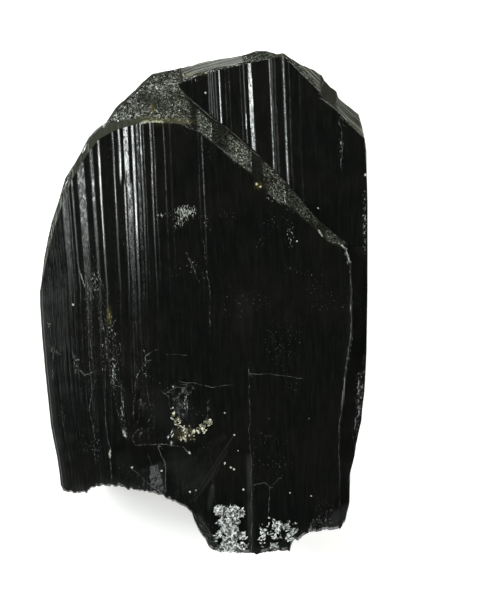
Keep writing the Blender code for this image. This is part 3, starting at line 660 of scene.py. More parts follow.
def front_surface():
    """The whole front as a grid of columns from the foot to the tip's rim: its places, the two coordinates of
    its line pattern, and how strong each finish is at each place."""
    c = main_columns()
    y = front_rows(c)
    at_foot = np.clip(0.55 + 0.7 * grain(c, 0 * c, 2.6, 65), 0, 1)
    c = np.broadcast_to(c, y.shape)
    x = column_x(c, y)
    off_edge = x - on_line(FRONT_PLATE_EDGE, y)
    z, satin = unbroken_front(c, x, y, off_edge)
    frost, fluted = grained(x, y)
    smooth_rim = (1 - ease(0.15, 0.55, y[-1] - y + 0.1 * grain(x, y, 0.7, 15))) * (1 - ease(-5, -3, x))
    frost *= 1 - smooth_rim
    up = y[STRIP] - y[CREST_ROW]
    inward = np.minimum(1, 6 * np.minimum(up, up[-1] - up))
    lumps = 0.07 * grain(x, y, 0.55, 11) + 0.035 * grain(x, y, 0.24, 12)
    z[STRIP] += lumps[STRIP] * frost[STRIP] * inward

    face = np.zeros_like(y)
    face[:CREST_ROW] = 1
    z, breaks = broken_front(x, y, z, face)
    across, power = cracked(x, y)
    step_face = face * (1 - np.clip((np.abs(off_edge - STEP_WIDTH / 2) - 0.09) / 0.08, 0, 1))
    lined = face * (1 - breaks.polished) * on_line(LINED, x)
    lean, olive = tints(c, x, y, smooth_rim, step_face, breaks.chip * face, fluted)
    # Lighter along the foot's edge; it goes into the painted sheen mask.
    foot_edge_band = face * np.exp(-((y - y[0]) / 0.7) ** 2) * at_foot
    dust = 0.2 * ease(0.1, 0.7, grain(x, y, 3.4, 93)) * face
    masks = {
        "frost": frost,
        "broken": np.maximum.reduce([
            0.4 * step_face, 0.3 * breaks.scar * face, 0.6 * breaks.chip * face, 0.2 * breaks.corner,
            0.9 * breaks.nibbled * face, breaks.crumbled * face,
        ]),
        "polished": breaks.polished * face,
        "crack_across": np.clip(across, -NO_CRACK, NO_CRACK),
        "crack_power": power,
        "satin": satin * (1 - breaks.polished) * (1 - breaks.scar),
        "fluted": fluted,
        "lined": lined * (1 - ease(-9, 0, y)),
        "lean": lean,
        "olive": olive,
        "specks": np.maximum(spotted(x, y, SPECKLES), dust),
        "worn": spotted(x, y, WORN),
        "stain": spotted(x, y, STAINS),
        # Painted sheen: lighter grey bands, and the lighter band along the foot's edge.
        "haze": np.maximum(painted_sheen_strength(x, y), 0.8 * foot_edge_band) * face,
        "wall": 0.8 * step_face,
    }
    u, v = c.copy(), y.copy()
    u[BEVEL], v[BEVEL] = y[BEVEL] - y[BEVEL_ROW] + BEVEL_PATTERN, c[BEVEL]
    return {"c": c, "x": x, "y": y, "z": z, "u": u, "v": v, "masks": masks}


def ring(grid):
    """A grid's boundary, once round: up the first column, along the top, down the last and along the foot."""
    return np.concatenate([grid[:-1, 0], grid[-1, :-1], grid[:0:-1, -1], grid[0, :0:-1]])


# The back from left to right, as (x, z): strips to lie on between shallow grooves, and turned-under sides.
BACK_PROFILE = [
    (-19.56, 6.5), (-16.3, 3.1), (-15.6, 2.7), (-13.1, 0.55), (-12.5, 0), (-5.2, 0), (-4.8, 0.4),
    (-2.6, 0.5), (-2.2, 0), (7.4, 0), (7.8, 0.35), (10.4, 0.55), (10.7, 0), (14.0, 0), (14.8, 0.7),
    (16.9, 3.2), (17.5, 3.5), (19.56, 5.9),
]
# Finishes of the back; the others are 0 there.
BACK_FINISH = {"crack_across": NO_CRACK, "wall": 0.7, "lined": 0.8, "fluted": 0.15}
# The tip's faces under the rim: a point, the way each faces in plan, and its rise per mm inwards.
UNDER_TIP = [((-17.5, 11.8, 7.0), (-0.81, 0.59), 1.11), ((-6.2, 27.3, 7.2), (-0.15, 0.99), 1.28),
             ((9.9, 29.7, 7.2), (0.75, 0.66), 1.15)]


def back_height(x, y):
    """Height of the back: its profile, carried with the sides, or the tip's under faces where those lie
    higher."""
    left, right = on_line(LEFT_SIDE, y), on_line(RIGHT_SIDE, y)
    across = -HALF_WIDTH + (x - left) / (right - left) * 2 * HALF_WIDTH
    z = on_line(BACK_PROFILE, across)
    for (px, py, pz), (nx, ny), rise in UNDER_TIP:
        z = np.maximum(z, pz + ((x - px) * nx + (y - py) * ny) * rise)
    return z


def smoothed(values):
    """Mean of each value and its four neighbours on both sides along a closed ring."""
    return np.convolve(np.concatenate([values[-4:], values, values[:4]]), np.ones(9) / 9, "valid")


def skirt(front):
    """The upright sides, from the front's rim down to the back: rings that follow the rim, set in where the
    rear plate lies behind the front one, and broken back at the foot. Returns each ring's places and pattern,
    which places are at the foot, and the way each faces."""
    x, y, z = (ring(front[key]) for key in "xyz")
    rows, columns = front["x"].shape
    lengths = [rows - 1, columns - 1] * 2
    foot = np.repeat([0.0, 0.0, 0.0, 1.0], lengths)
    side = np.repeat([True, False, True, False], lengths)
    tx, ty = np.roll(x, -2) - np.roll(x, 2), np.roll(y, -2) - np.roll(y, 2)
    length = np.hypot(tx, ty)
    nx, ny = smoothed(-ty / length), smoothed(tx / length)
    size = np.hypot(nx, ny)
    nx, ny = nx / size, ny / size
    across = ring(front["c"]) + 0.6 * y
    low = smoothed(np.where(foot > 0, back_height(x, y + FOOT_UNDERCUT), WALL_Z))
    levels = []
    for share in np.arange(1, SKIRT_LEVELS + 1) / SKIRT_LEVELS:
        height = z + (low - z) * share
        depth = z - height
        behind = REAR_SET_IN * ease(0, 0.25, REAR_PLATE_TOP - height) * (x < 0)
        wall = behind + 0.15 * share + 0.03 * grain(x + y, height, 1.2, 71)
        flakes = 0.55 * grain(x, height * 1.3, 2.6, 72) + 0.3 * grain(x, height, 0.9, 73)
        flakes += 0.14 * grain(x, height, 0.35, 74)
        broken = 0.16 * depth + np.minimum(depth, 1) * (0.35 + flakes)
        inset = smoothed(np.where(foot > 0, broken, wall))
        places = np.stack([x - nx * inset, y - ny * inset, height], axis=1)
        lined_by = np.where(side, height + WALL_PATTERN, across)
        levels.append((places, np.stack([lined_by, places[:, 1]], axis=1)))
    return levels, foot, np.stack([nx, ny], axis=1)


def coons(bottom, top, left, right):
    """A grid filled between four edges of points: the sum of both ruled surfaces less the corner one."""
    u = np.linspace(0, 1, len(bottom))[None, :, None]
    v = np.linspace(0, 1, len(left))[:, None, None]
    across = (1 - v) * bottom[None] + v * top[None]
    along = (1 - u) * left[:, None] + u * right[:, None]
    corners = (1 - v) * ((1 - u) * bottom[0] + u * bottom[-1]) + v * ((1 - u) * top[0] + u * top[-1])
    return across + along - corners


def grid_quads(rows, columns, start=0, turned=False):
    """Quads of a grid whose vertices run row by row, facing up, or down if turned."""
    k = start + np.arange(rows * columns).reshape(rows, columns)
    quads = np.stack([k[:-1, :-1], k[:-1, 1:], k[1:, 1:], k[1:, :-1]], axis=-1).reshape(-1, 4)
    return quads[:, ::-1] if turned else quads


def make_mesh(name, vertices, quads, triangles=None, sharp=None):
    """A mesh object from whole arrays of vertices in millimetres, four-cornered and three-cornered faces."""
    mesh = bpy.data.meshes.new(name)
    triangles = np.empty((0, 3), dtype=int) if triangles is None else triangles
    corners = np.concatenate([quads.ravel(), triangles.ravel()]).astype(np.int32)
    totals = np.concatenate([np.full(len(quads), 4), np.full(len(triangles), 3)]).astype(np.int32)
    starts = np.concatenate([[0], np.cumsum(totals)[:-1]]).astype(np.int32)
    mesh.vertices.add(len(vertices))
    mesh.vertices.foreach_set("co", (np.asarray(vertices) * MM).astype(np.float32).ravel())
    mesh.loops.add(len(corners))
    mesh.loops.foreach_set("vertex_index", corners)
    mesh.polygons.add(len(totals))
    mesh.polygons.foreach_set("loop_start", starts)
    mesh.update(calc_edges=True)
    mesh.validate()
    mesh.shade_smooth()
    if sharp is not None:
        mesh.set_sharp_from_angle(angle=math.radians(sharp))
    obj = bpy.data.objects.new(name, mesh)
    bpy.context.scene.collection.objects.link(obj)
    return obj


def add_attribute(obj, name, values):
    layer = obj.data.attributes.new(name, "FLOAT", "POINT")
    layer.data.foreach_set("value", np.asarray(values, dtype=np.float32).ravel())


def back_patch(inner, rows, columns):
    """The back: a grid filled between the four sides of a ring, at the back's height."""
    closed = np.vstack([inner, inner[:1]])
    r, k = (rows - 1) // THIN, (columns - 1) // THIN
    left, top = closed[:r + 1], closed[r:r + k + 1]
    right, bottom = closed[r + k:2 * r + k + 1][::-1], closed[2 * r + k:][::-1]
    x, y = np.moveaxis(coons(bottom, top, left, right), -1, 0)
    return np.stack([x, y, back_height(x, y)], axis=-1)


def zipped(fine, coarse):
    """Triangles between a ring and a coarser one, which has one vertex for every THIN of the fine one's."""
    fine = fine.reshape(-1, THIN)
    fine = np.column_stack([fine, np.roll(fine[:, 0], -1)])
    after = np.roll(coarse, -1)
    half = THIN // 2
    triangles = [np.stack([fine[:, j], fine[:, j + 1], coarse if j < half else after], axis=1)
                 for j in range(THIN)]
    return np.vstack(triangles + [np.stack([coarse, fine[:, half], after], axis=1)])


def columbite_crystal():
    """The crystal as one closed surface: the front, a skirt of rings round it, the back inside a coarser
    ring, and a zip of triangles between the skirt and the back."""
    front = front_surface()
    rows, columns = front["x"].shape
    vertices = [np.stack([front[key].ravel() for key in "xyz"], axis=1)]
    pattern = [np.stack([front[key].ravel() for key in "uv"], axis=1)]
    masks = {key: [value.ravel()] for key, value in front["masks"].items()}
    quads = [grid_quads(rows, columns)]
    index = ring(np.arange(rows * columns).reshape(rows, columns))
    total = rows * columns
    levels, foot, outward = skirt(front)
    skirt_finish = {"broken": foot, "crack_across": np.full_like(foot, NO_CRACK), "wall": 1 - 0.6 * foot,
                    "lined": 1 - foot, "fluted": 0.3 * (1 - foot)}
    for places, lines in levels:
        vertices.append(places)
        pattern.append(lines)
        for key in masks:
            masks[key].append(skirt_finish.get(key, 0 * foot))
        fresh = total + np.arange(len(index))
        quads.append(np.stack([index, np.roll(index, -1), np.roll(fresh, -1), fresh], axis=1))
        index, total = fresh, total + len(index)

    patch = back_patch((levels[-1][0][:, :2] - BACK_INSET * outward)[::THIN], rows, columns)
    rows, columns = patch.shape[:2]
    vertices.append(patch.reshape(-1, 3))
    pattern.append(patch[..., :2].reshape(-1, 2))
    for key in masks:
        masks[key].append(np.full(rows * columns, BACK_FINISH.get(key, 0.0)))
    quads.append(grid_quads(rows, columns, start=total, turned=True))
    triangles = zipped(index, ring(total + np.arange(rows * columns).reshape(rows, columns)))

    obj = make_mesh("columbite_crystal_looks", np.vstack(vertices), np.vstack(quads), triangles, sharp=22)
    for key, parts in masks.items():
        add_attribute(obj, key, np.concatenate(parts))
    uv = obj.data.uv_layers.new(name="prism")
    corner = np.empty(len(obj.data.loops), dtype=np.int32)
    obj.data.loops.foreach_get("vertex_index", corner)
    uv.data.foreach_set("uv", (np.vstack(pattern)[corner] / UV_TO_MM).astype(np.float32).ravel())
    return obj, front


def new_material(name):
    material = bpy.data.materials.new(name)
    material.use_nodes = True
    tree = material.node_tree
    return material, tree, tree.nodes["Principled BSDF"]


def feed(made, inputs):
    """Gives a node its inputs, by name or number: another node's socket is linked, anything else is set."""
    for key, value in inputs.items():
        if isinstance(value, bpy.types.NodeSocket):
            made.id_data.links.new(value, made.inputs[key])
        else:
            made.inputs[key].default_value = value


def node(tree, kind, inputs=None, **settings):
    """A new node with its settings and inputs."""
    made = tree.nodes.new(kind)
    for key, value in settings.items():
        setattr(made, key, value)
    feed(made, inputs or {})
    return made


def mm_vector(tree, source, scale, offset=(0, 0, 0)):
    """A texture vector: source times scale for each axis, plus offset."""
    inputs = {"Vector": source, "Scale": scale, "Location": offset}
    return node(tree, "ShaderNodeMapping", inputs).outputs["Vector"]


def noise(tree, vector, scale, detail=2.0, roughness=0.5):
    inputs = {"Vector": vector, "Scale": scale, "Detail": detail, "Roughness": roughness}
    return node(tree, "ShaderNodeTexNoise", inputs).outputs["Fac"]


def ranged(tree, value, low, high, to_low, to_high, **settings):
    """Range change, clamped, and linear unless a setting says otherwise."""
    inputs = {"Value": value, "From Min": low, "From Max": high, "To Min": to_low, "To Max": to_high}
    return node(tree, "ShaderNodeMapRange", inputs, **settings).outputs[0]


def maths(tree, operation, *values):
    return node(tree, "ShaderNodeMath", dict(enumerate(values)), operation=operation).outputs[0]


def plus(tree, first, second):
    return maths(tree, "ADD", first, second)


def minus(tree, first, second):
    return maths(tree, "SUBTRACT", first, second)


def times(tree, first, second):
    return maths(tree, "MULTIPLY", first, second)


def most(tree, first, second):
    return maths(tree, "MAXIMUM", first, second)


def mixed(tree, factor, *colors):
    """Colour mix of two sockets or plain colours."""
    first, second = ((*color, 1) if isinstance(color, tuple) else color for color in colors)
    inputs = {"Factor": factor, MIX_FIRST: first, MIX_SECOND: second}
    return node(tree, "ShaderNodeMix", inputs, data_type="RGBA").outputs[MIX_RESULT]


def bump(tree, height, distance_mm, strength, **normal):
    """The normal after bumps, on the plain one or on the one given."""
    inputs = {"Height": height, "Distance": distance_mm * MM, "Strength": strength, **normal}
    return node(tree, "ShaderNodeBump", inputs).outputs["Normal"]


def attribute(tree, name):
    return node(tree, "ShaderNodeAttribute", attribute_name=name).outputs["Fac"]


def cells(tree, vector, scale):
    """A random colour for each small cell, as a socket."""
    return node(tree, "ShaderNodeTexVoronoi", {"Vector": vector, "Scale": scale}).outputs["Color"]


def vectors(tree, operation, *values):
    """Vector arithmetic: a number for a distance or a dot product, otherwise a vector."""
    made = node(tree, "ShaderNodeVectorMath", dict(enumerate(values)), operation=operation)
    return made.outputs["Value" if operation in ("DISTANCE", "DOT_PRODUCT") else "Vector"]


def moved(tree, vector, way, amount):
    """A vector plus another one times an amount."""
    step = node(tree, "ShaderNodeVectorMath", {0: way, "Scale": amount}, operation="SCALE")
    return vectors(tree, "ADD", vector, step.outputs[0])


def swayed(tree, vector, random_color, amount):
    """A vector plus a random colour's distance from mid grey, times an amount."""
    return moved(tree, vector, vectors(tree, "SUBTRACT", random_color, (0.5, 0.5, 0.5)), amount)


def wobbled(tree, vector, scale, amount):
    """A vector pushed about by coloured noise, so that cells read from it have ragged edges."""
    made = node(tree, "ShaderNodeTexNoise", {"Vector": vector, "Scale": scale, "Detail": 2.0})
    return swayed(tree, vector, made.outputs["Color"], amount)


def lone_specks(tree, flat):
    """1 inside each lone speck's circle, 0 outside."""
    result = 0.0
    for x, y, radius in SPECKS:
        away = vectors(tree, "DISTANCE", flat, (x, y, 0.0))
        result = most(tree, result, maths(tree, "LESS_THAN", away, radius))
    return result


def columbite_readings(tree):
    """What the columbite's looks are read from: its finishes, its places in mm, and patterns along the prism
    that are stretched by a different amount each."""
    at = SimpleNamespace(**{name: attribute(tree, name) for name in FINISHES})
    prism = node(tree, "ShaderNodeUVMap", uv_map="prism").outputs["UV"]
    place = node(tree, "ShaderNodeTexCoord").outputs["Object"]
    at.in_mm = mm_vector(tree, place, (OBJECT_TO_MM,) * 3)
    at.flat = mm_vector(tree, place, (OBJECT_TO_MM, OBJECT_TO_MM, 0))
    for name, along, offset in (
        ("lines", 0.025, (0, 0, 0)), ("wide", 0.04, (11, 5, 0)), ("fine", 0.07, (3, 7, 0)),
        ("streaky", 0.12, (0, 0, 0)), ("dashes", 0.4, (0, 0, 0)),
    ):
        setattr(at, name, mm_vector(tree, prism, (UV_TO_MM, UV_TO_MM * along, 1), offset))
    at.long_lines = noise(tree, at.lines, 5.5, 3.0, 0.6)
    at.ragged = wobbled(tree, at.in_mm, 2.0, 0.5)
    at.rough = most(tree, at.frost, at.broken)
    return at


def crushed_and_glint_places(tree, at):
    """Pale places: threads along the cracks that break up into dots, patches of specks, lone specks and
    painted glints.
    """
    wander = times(tree, minus(tree, noise(tree, at.in_mm, 2.2, 3.0, 0.7), 0.5), 4.5)
    off_crack = maths(tree, "ABSOLUTE", plus(tree, at.crack_across, wander))
    thread = times(tree, ranged(tree, off_crack, 0.1, 0.9, 1, 0), at.crack_power)
    present = ranged(tree, noise(tree, at.in_mm, 0.9, 2.0, 0.6), 0.42, 0.58, 0.3, 1)
    dots = ranged(tree, noise(tree, wobbled(tree, at.dashes, 2.0, 0.4), 4.6, 3.0, 0.8), 0.50, 0.66, 0, 1)
    dots = times(tree, most(tree, dots, ranged(tree, at.crack_power, 0.25, 0.55, 0.8, 0.12)), present)
    dots = plus(tree, dots, ranged(tree, at.crack_power, 0.75, 1, 0, 0.8))
    pale = ranged(tree, times(tree, thread, dots), 0.02, 0.9, 0, 1)
    dotted = plus(tree, noise(tree, at.dashes, 6.0, 2.0, 0.7), times(tree, at.specks, 0.26))
    dotted = ranged(tree, dotted, 0.70, 0.80, 0, 0.9)
    pale = most(tree, pale, times(tree, dotted, ranged(tree, at.specks, 0.1, 0.4, 0, 1)))
    specks = lone_specks(tree, mm_vector(tree, wobbled(tree, at.flat, 4.0, 0.25), (1, 1, 0)))
    on_front = minus(tree, 1.0, ranged(tree, at.wall, 0, 0.1, 0, 1))
    return most(tree, pale, times(tree, specks, on_front))


def columbite_color(tree, at, pale):
    """Black with faint clouds and streaks, a lighter grey in bands of painted sheen, olive where it shines as
    one sheet, painted with light and dark lines where fluted as lit and shaded flutes, speckled where
    grained, the pale grains partly painted sparkle, stained brown in places, and pale where crushed and at
    painted glints."""
    clouds = ranged(tree, noise(tree, at.in_mm, 0.16, 4.0, 0.6), 0.4, 0.62, 0, 1)
    color = mixed(tree, clouds, (0.0034, 0.0043, 0.0038), (0.0060, 0.0060, 0.0050))
    streaks = ranged(tree, noise(tree, at.streaky, 2.2, 4.0, 0.65), 0.45, 0.7, 0, 0.8)
    # The pale grains are partly the frosted faces' own grain and partly painted sparkle.
    grains = ranged(tree, noise(tree, at.ragged, 4.0, 3.0, 0.75), 0.52, 0.63, 0, 1)
    frosted = mixed(tree, grains, (0.017, 0.019, 0.0145), (0.31, 0.328, 0.265))
    earthy = ranged(tree, noise(tree, at.in_mm, 0.6, 3.0, 0.6), 0.52, 0.66, 0, 0.85)
    frosted = mixed(tree, earthy, frosted, (0.012, 0.009, 0.003))
    frosted = mixed(tree, times(tree, at.worn, 0.8), frosted, (0.010, 0.011, 0.009))
    # Colour of the pale marks: crushed white on the cracks, and the same for the painted glints and the
    # crest's painted highlight.
    crushed = mixed(tree, times(tree, at.stain, 0.9), (0.42, 0.44, 0.40), (0.50, 0.46, 0.22))
    for share, over in (
        (streaks, (0.0085, 0.0088, 0.0076)),
        # Painted sheen: a lighter grey in the bands where a faint sheen would show.
        (at.haze, (0.020, 0.0215, 0.0205)),
        (times(tree, at.olive, 0.9), (0.050, 0.054, 0.038)),
        # On fluted faces, painted shade and highlight: dark and light lines along the same noise that shapes
        # the flutes' bumps, standing for lit and shaded flutes.
        (times(tree, at.fluted, ranged(tree, at.long_lines, 0.40, 0.49, 0.9, 0)), (0.007, 0.0076, 0.006)),
        (times(tree, at.fluted, ranged(tree, at.long_lines, 0.49, 0.58, 0, 0.9)), (0.15, 0.157, 0.128)),
        (at.frost, frosted),
        (times(tree, at.broken, 0.8), (0.004, 0.0042, 0.0037)),
        (times(tree, at.stain, ranged(tree, grains, 0, 1, 0.25, 0.7)), (0.14, 0.12, 0.035)),
        (pale, crushed),
    ):
        color = mixed(tree, share, color, over)
    return color


def columbite_roughness(tree, at, pale):
    """Glossy, a little uneven, and duller by each dull finish's own share."""
    patchy = ranged(tree, noise(tree, at.in_mm, 0.7, 3.0, 0.6), 0.35, 0.7, -0.03, 0.05)
    gloss = plus(tree, ranged(tree, at.long_lines, 0.35, 0.7, 0.12, 0.2), patchy)
    dull = times(tree, at.frost, 0.08)
    for finish, share in ((at.satin, 0.13), (pale, 0.4), (at.wall, 0.24)):
        dull = plus(tree, dull, times(tree, finish, share))
    return plus(tree, gloss, dull)


def columbite_normal(tree, at):
    """Normals: some grains and the one-sheet faces turn up flat, each cell tips its own way where grained,
    broken or satiny, and bumps add the lines, ribs and pits."""
    coarse_cells = cells(tree, at.ragged, 2.8)
    quiet = ranged(tree, noise(tree, at.in_mm, 0.5, 3.0, 0.6), 0.38, 0.62, -0.3, 0.1)
    quiet = minus(tree, quiet, times(tree, at.worn, 0.3))
    pick = plus(tree, vectors(tree, "DOT_PRODUCT", coarse_cells, (0.0, 0.0, 1.0)), quiet)
    pick = plus(tree, pick, ranged(tree, at.frost, 0.4, 1, -0.7, 0.1))
    sheet = times(tree, at.lean, minus(tree, 1.0, at.frost))
    sheet = times(tree, sheet, ranged(tree, at.long_lines, 0.3, 0.7, 1.4, 0.6))
    lying = plus(tree, times(tree, ranged(tree, pick, 0.52, 0.68, 4.5, 0), at.frost), sheet)
    upright = node(tree, "ShaderNodeVectorTransform", {0: (0, 0, 1)}, vector_type="NORMAL",
                   convert_from="OBJECT", convert_to="WORLD").outputs[0]
    normal = moved(tree, node(tree, "ShaderNodeNewGeometry").outputs["Normal"], upright, lying)

    uneven = times(tree, at.frost, ranged(tree, at.worn, 0, 1, 1, 0.4))
    tiny_cells = cells(tree, wobbled(tree, at.dashes, 3.0, 0.2), 6.5)
    for cell_color, amount in (
        (coarse_cells, plus(tree, uneven, times(tree, at.broken, 0.4))),
        (cells(tree, at.ragged, 5.4), times(tree, uneven, 0.8)),
        (tiny_cells, times(tree, at.satin, 0.17)),
    ):
        normal = vectors(tree, "NORMALIZE", swayed(tree, normal, cell_color, amount))
    smooth = minus(tree, 1.0, most(tree, at.rough, at.polished))
    smooth = times(tree, smooth, ranged(tree, at.satin, 0.2, 0.9, 1, 0.35))
    for height, depth, share in (
        (at.long_lines, 0.014, smooth),
        (noise(tree, at.fine, 14.0, 2.0, 0.6), 0.004, smooth),
        (noise(tree, at.wide, 2.6, 3.0, 0.55), 0.06, at.lined),
        (at.long_lines, 0.10, at.fluted),
        (noise(tree, at.in_mm, 1.3, 3.0, 0.6), 0.05, at.polished),
        (noise(tree, at.in_mm, 1.6, 3.0, 0.8), 0.1, at.rough),
    ):
        normal = bump(tree, height, depth, share, Normal=normal)
    return normal


def columbite_material():
    """Black submetallic mineral, finely lined along the prism, grained where frosted, glassy where freshly
    broken and pale where it is crushed, with painted sheen, sparkle, glints and a painted highlight."""
    material, tree, shader = new_material("columbite")
    at = columbite_readings(tree)
    pale = crushed_and_glint_places(tree, at)
    feed(shader, {
        "Base Color": columbite_color(tree, at, pale),
        "Roughness": columbite_roughness(tree, at, pale),
        "IOR": 1.72,
        "Normal": columbite_normal(tree, at),
    })
    return material


def flakes_mesh(name, centres, sizes, seed, thickness, tilt, slender):
    """Many thin six-sided plates joined in one mesh: each is a hexagon of its own size and slenderness, with
    a top, a bottom and six sides, turned by its own random tilt and swivel."""
    rng = np.random.default_rng(seed)
    count = len(centres)
    angles = np.arange(6) * math.pi / 3
    stretch = rng.uniform(*slender, (count, 1))
    rim = np.stack([np.cos(angles)[None] * np.ones((count, 1)), np.sin(angles)[None] * stretch,
                    np.zeros((count, 6))], axis=2) * rng.uniform(0.75, 1.15, (count, 6, 1))
    plate = np.concatenate([rim, rim], axis=1) * sizes[:, None, None]
    plate[:, :6, 2] = -0.5
    plate[:, 6:, 2] = 0.5
    plate[..., 2] *= thickness * (sizes * rng.uniform(0.6, 1.6, count))[:, None]
    swivel, lean = rng.uniform(0, 2 * math.pi, count), rng.normal(0, tilt, count)
    about = rng.uniform(0, 2 * math.pi, count)
    cs, sn = np.cos(swivel)[:, None], np.sin(swivel)[:, None]
    flat_x, flat_y, pz = np.moveaxis(plate, -1, 0)
    px, py = flat_x * cs - flat_y * sn, flat_x * sn + flat_y * cs
    ax, ay = np.cos(about)[:, None], np.sin(about)[:, None]
    cl, sl = np.cos(lean)[:, None], np.sin(lean)[:, None]
    inward, along = px * ax + py * ay, -px * ay + py * ax
    turned = inward * cl + pz * sl
    up = -inward * sl + pz * cl
    points = np.stack([turned * ax - along * ay, turned * ay + along * ax, up], axis=2) + centres[:, None, :]
    corners = plate.shape[1]
    base = (np.arange(count) * corners)[:, None]
    k = np.arange(6)
    sides = np.stack([k, (k + 1) % 6, (k + 1) % 6 + 6, k + 6], axis=1)
    side_quads = (base[:, :, None] + sides[None]).reshape(-1, 4)
    ends = np.array([(6, 7, 8, 9), (6, 9, 10, 11), (3, 2, 1, 0), (5, 4, 3, 0)])
    end_quads = (base[:, :, None] + ends[None]).reshape(-1, 4)
    flakes = make_mesh(name, points.reshape(-1, 3), np.vstack([side_quads, end_quads]), sharp=20)
    add_attribute(flakes, "tone", np.repeat(rng.uniform(0, 1, count), corners))
    return flakes


def height_over(front, x, y):
    """Height of the front under each place: that of the nearest vertex in every second row and column."""
    fx, fy, fz = (front[key][::2, ::2].ravel() for key in "xyz")
    result = np.empty(len(x))
    batch = 256
    for start in range(0, len(x), batch):
        part = slice(start, start + batch)
        near = np.argmin((fx[None] - x[part, None]) ** 2 + (fy[None] - y[part, None]) ** 2, axis=1)
        result[part] = fz[near]
    return result


FLAKE_LIFT = 0.02
# Lobes of the patches, as (x, y, radius across, radius along, share of the flakes, height of the pile).
MICA_LEFT_LOBES = [
    (1.9, -24.9, 0.9, 0.5, 0.13, 0.45), (3.6, -25.2, 1.15, 0.75, 0.26, 0.7),
    (2.9, -26.1, 1.4, 0.85, 0.2, 0.6), (3.1, -27.2, 1.1, 0.6, 0.1, 0.5),
    (2.6, -28.1, 1.35, 0.95, 0.19, 0.5), (3.3, -29.3, 1.9, 0.75, 0.20, 0.3),
    (4.7, -28.0, 0.6, 0.5, 0.05, 0.3),
]
MICA_RIGHT_LOBES = [
    (7.2, -27.2, 0.8, 0.85, 0.17, 0.2), (8.6, -26.8, 0.95, 0.85, 0.22, 0.25),
    (10.3, -27.0, 0.95, 0.85, 0.27, 0.3), (10.3, -28.1, 0.5, 0.5, 0.05, 0.15),
    (8.6, -27.8, 1.1, 0.5, 0.1, 0.2), (7.1, -28.6, 0.6, 0.7, 0.09, 0.15), (8.1, -29.2, 0.9, 0.5, 0.1, 0.15),
    (9.4, -29.3, 0.4, 0.3, 0.04, 0.1),
]
FELDSPAR_LOBES = [
    (-3.15, -14.3, 0.4, 0.55, 0.11, 0.15), (-2.7, -15.2, 0.4, 0.4, 0.1, 0.15),
    (-1.75, -15.7, 0.85, 0.6, 0.3, 0.3), (-0.4, -15.2, 0.8, 0.55, 0.26, 0.25),
    (0.5, -14.5, 0.55, 0.45, 0.12, 0.15), (-2.3, -16.4, 0.6, 0.3, 0.1, 0.1),
    (-3.7, -13.3, 0.25, 0.7, 0.05, 0.08), (-1.2, -16.5, 0.4, 0.3, 0.05, 0.1),
    (-1.3, -15.0, 0.6, 0.3, 0.08, 0.1),
]
# The patches, as (the solid each stands for, the piece's name, mineral, lobes, number of flakes, seed, how
# bare, the largest flake, a power that makes small ones common, thickness, tilt, slenderness).
PATCHES = (
    ("mica_patch_left", "mica_patch_left_flakes", "mica", MICA_LEFT_LOBES, 3400, 5, -0.1, 0.38, 1.3,
     0.08, 0.6, (0.1, 0.4)),
    ("mica_patch_right", "mica_patch_right_flakes", "mica", MICA_RIGHT_LOBES, 1900, 9, 0.16, 0.28, 1.3,
     0.08, 0.6, (0.1, 0.4)),
    ("feldspar_grains", "feldspar_grain_cluster", "feldspar", FELDSPAR_LOBES, 950, 21, 0.1, 0.24, 1.5,
     0.2, 0.7, (0.2, 0.6)),
)


def patch_centres(front, lobes, count, seed, gaps):
    """Seeded places for a patch's flakes: scattered round in each lobe with its own share, thinned where fine
    noise is low, lying on the front or piled a little above it."""
    rng = np.random.default_rng(seed)
    places = []
    for cx, cy, rx, ry, share, pile in lobes:
        amount = int(count * share)
        turn, away = rng.uniform(0, 2 * math.pi, amount), np.sqrt(rng.uniform(0, 1, amount))
        x, y = cx + rx * away * np.cos(turn), cy + ry * away * np.sin(turn)
        lift = rng.uniform(0, 1, amount) * pile * np.sqrt(1.02 - away ** 2)
        keep = grain(x, y, 0.2, seed + 2) + 0.6 * grain(x, y, 0.6, seed + 3) > gaps + 0.6 * (away - 0.7)
        z = height_over(front, x, y) + lift + FLAKE_LIFT
        places.append(np.stack([x, y, z], axis=1)[keep])
    return np.vstack(places)


def patch_material(name, mottle, tones, colors, gloss, grit):
    """A pale mineral in small pieces: each has its own tone, mottled by noise, between two colours. Mottle is
    a noise's scale and strength, gloss a noise's scale and two roughnesses, and grit a noise's scale and the
    depth and strength of its bumps."""
    material, tree, shader = new_material(name)
    place = node(tree, "ShaderNodeTexCoord").outputs["Object"]
    in_mm = mm_vector(tree, place, (OBJECT_TO_MM,) * 3)
    scale, strength = mottle
    mottled = ranged(tree, noise(tree, in_mm, scale, 3.0, 0.8), 0.3, 0.7, -strength, strength)
    tone = ranged(tree, plus(tree, attribute(tree, "tone"), mottled), *tones, 0, 1)
    feed(shader, {
        "Base Color": mixed(tree, tone, *colors),
        "Roughness": ranged(tree, noise(tree, in_mm, gloss[0]), 0.3, 0.7, *gloss[1:]),
        "Normal": bump(tree, noise(tree, in_mm, grit[0]), *grit[1:]),
    })
    return material


def finish_piece(obj, material, node_name):
    obj.data.materials.append(material)
    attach(obj, "root")
    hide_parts(node_name)


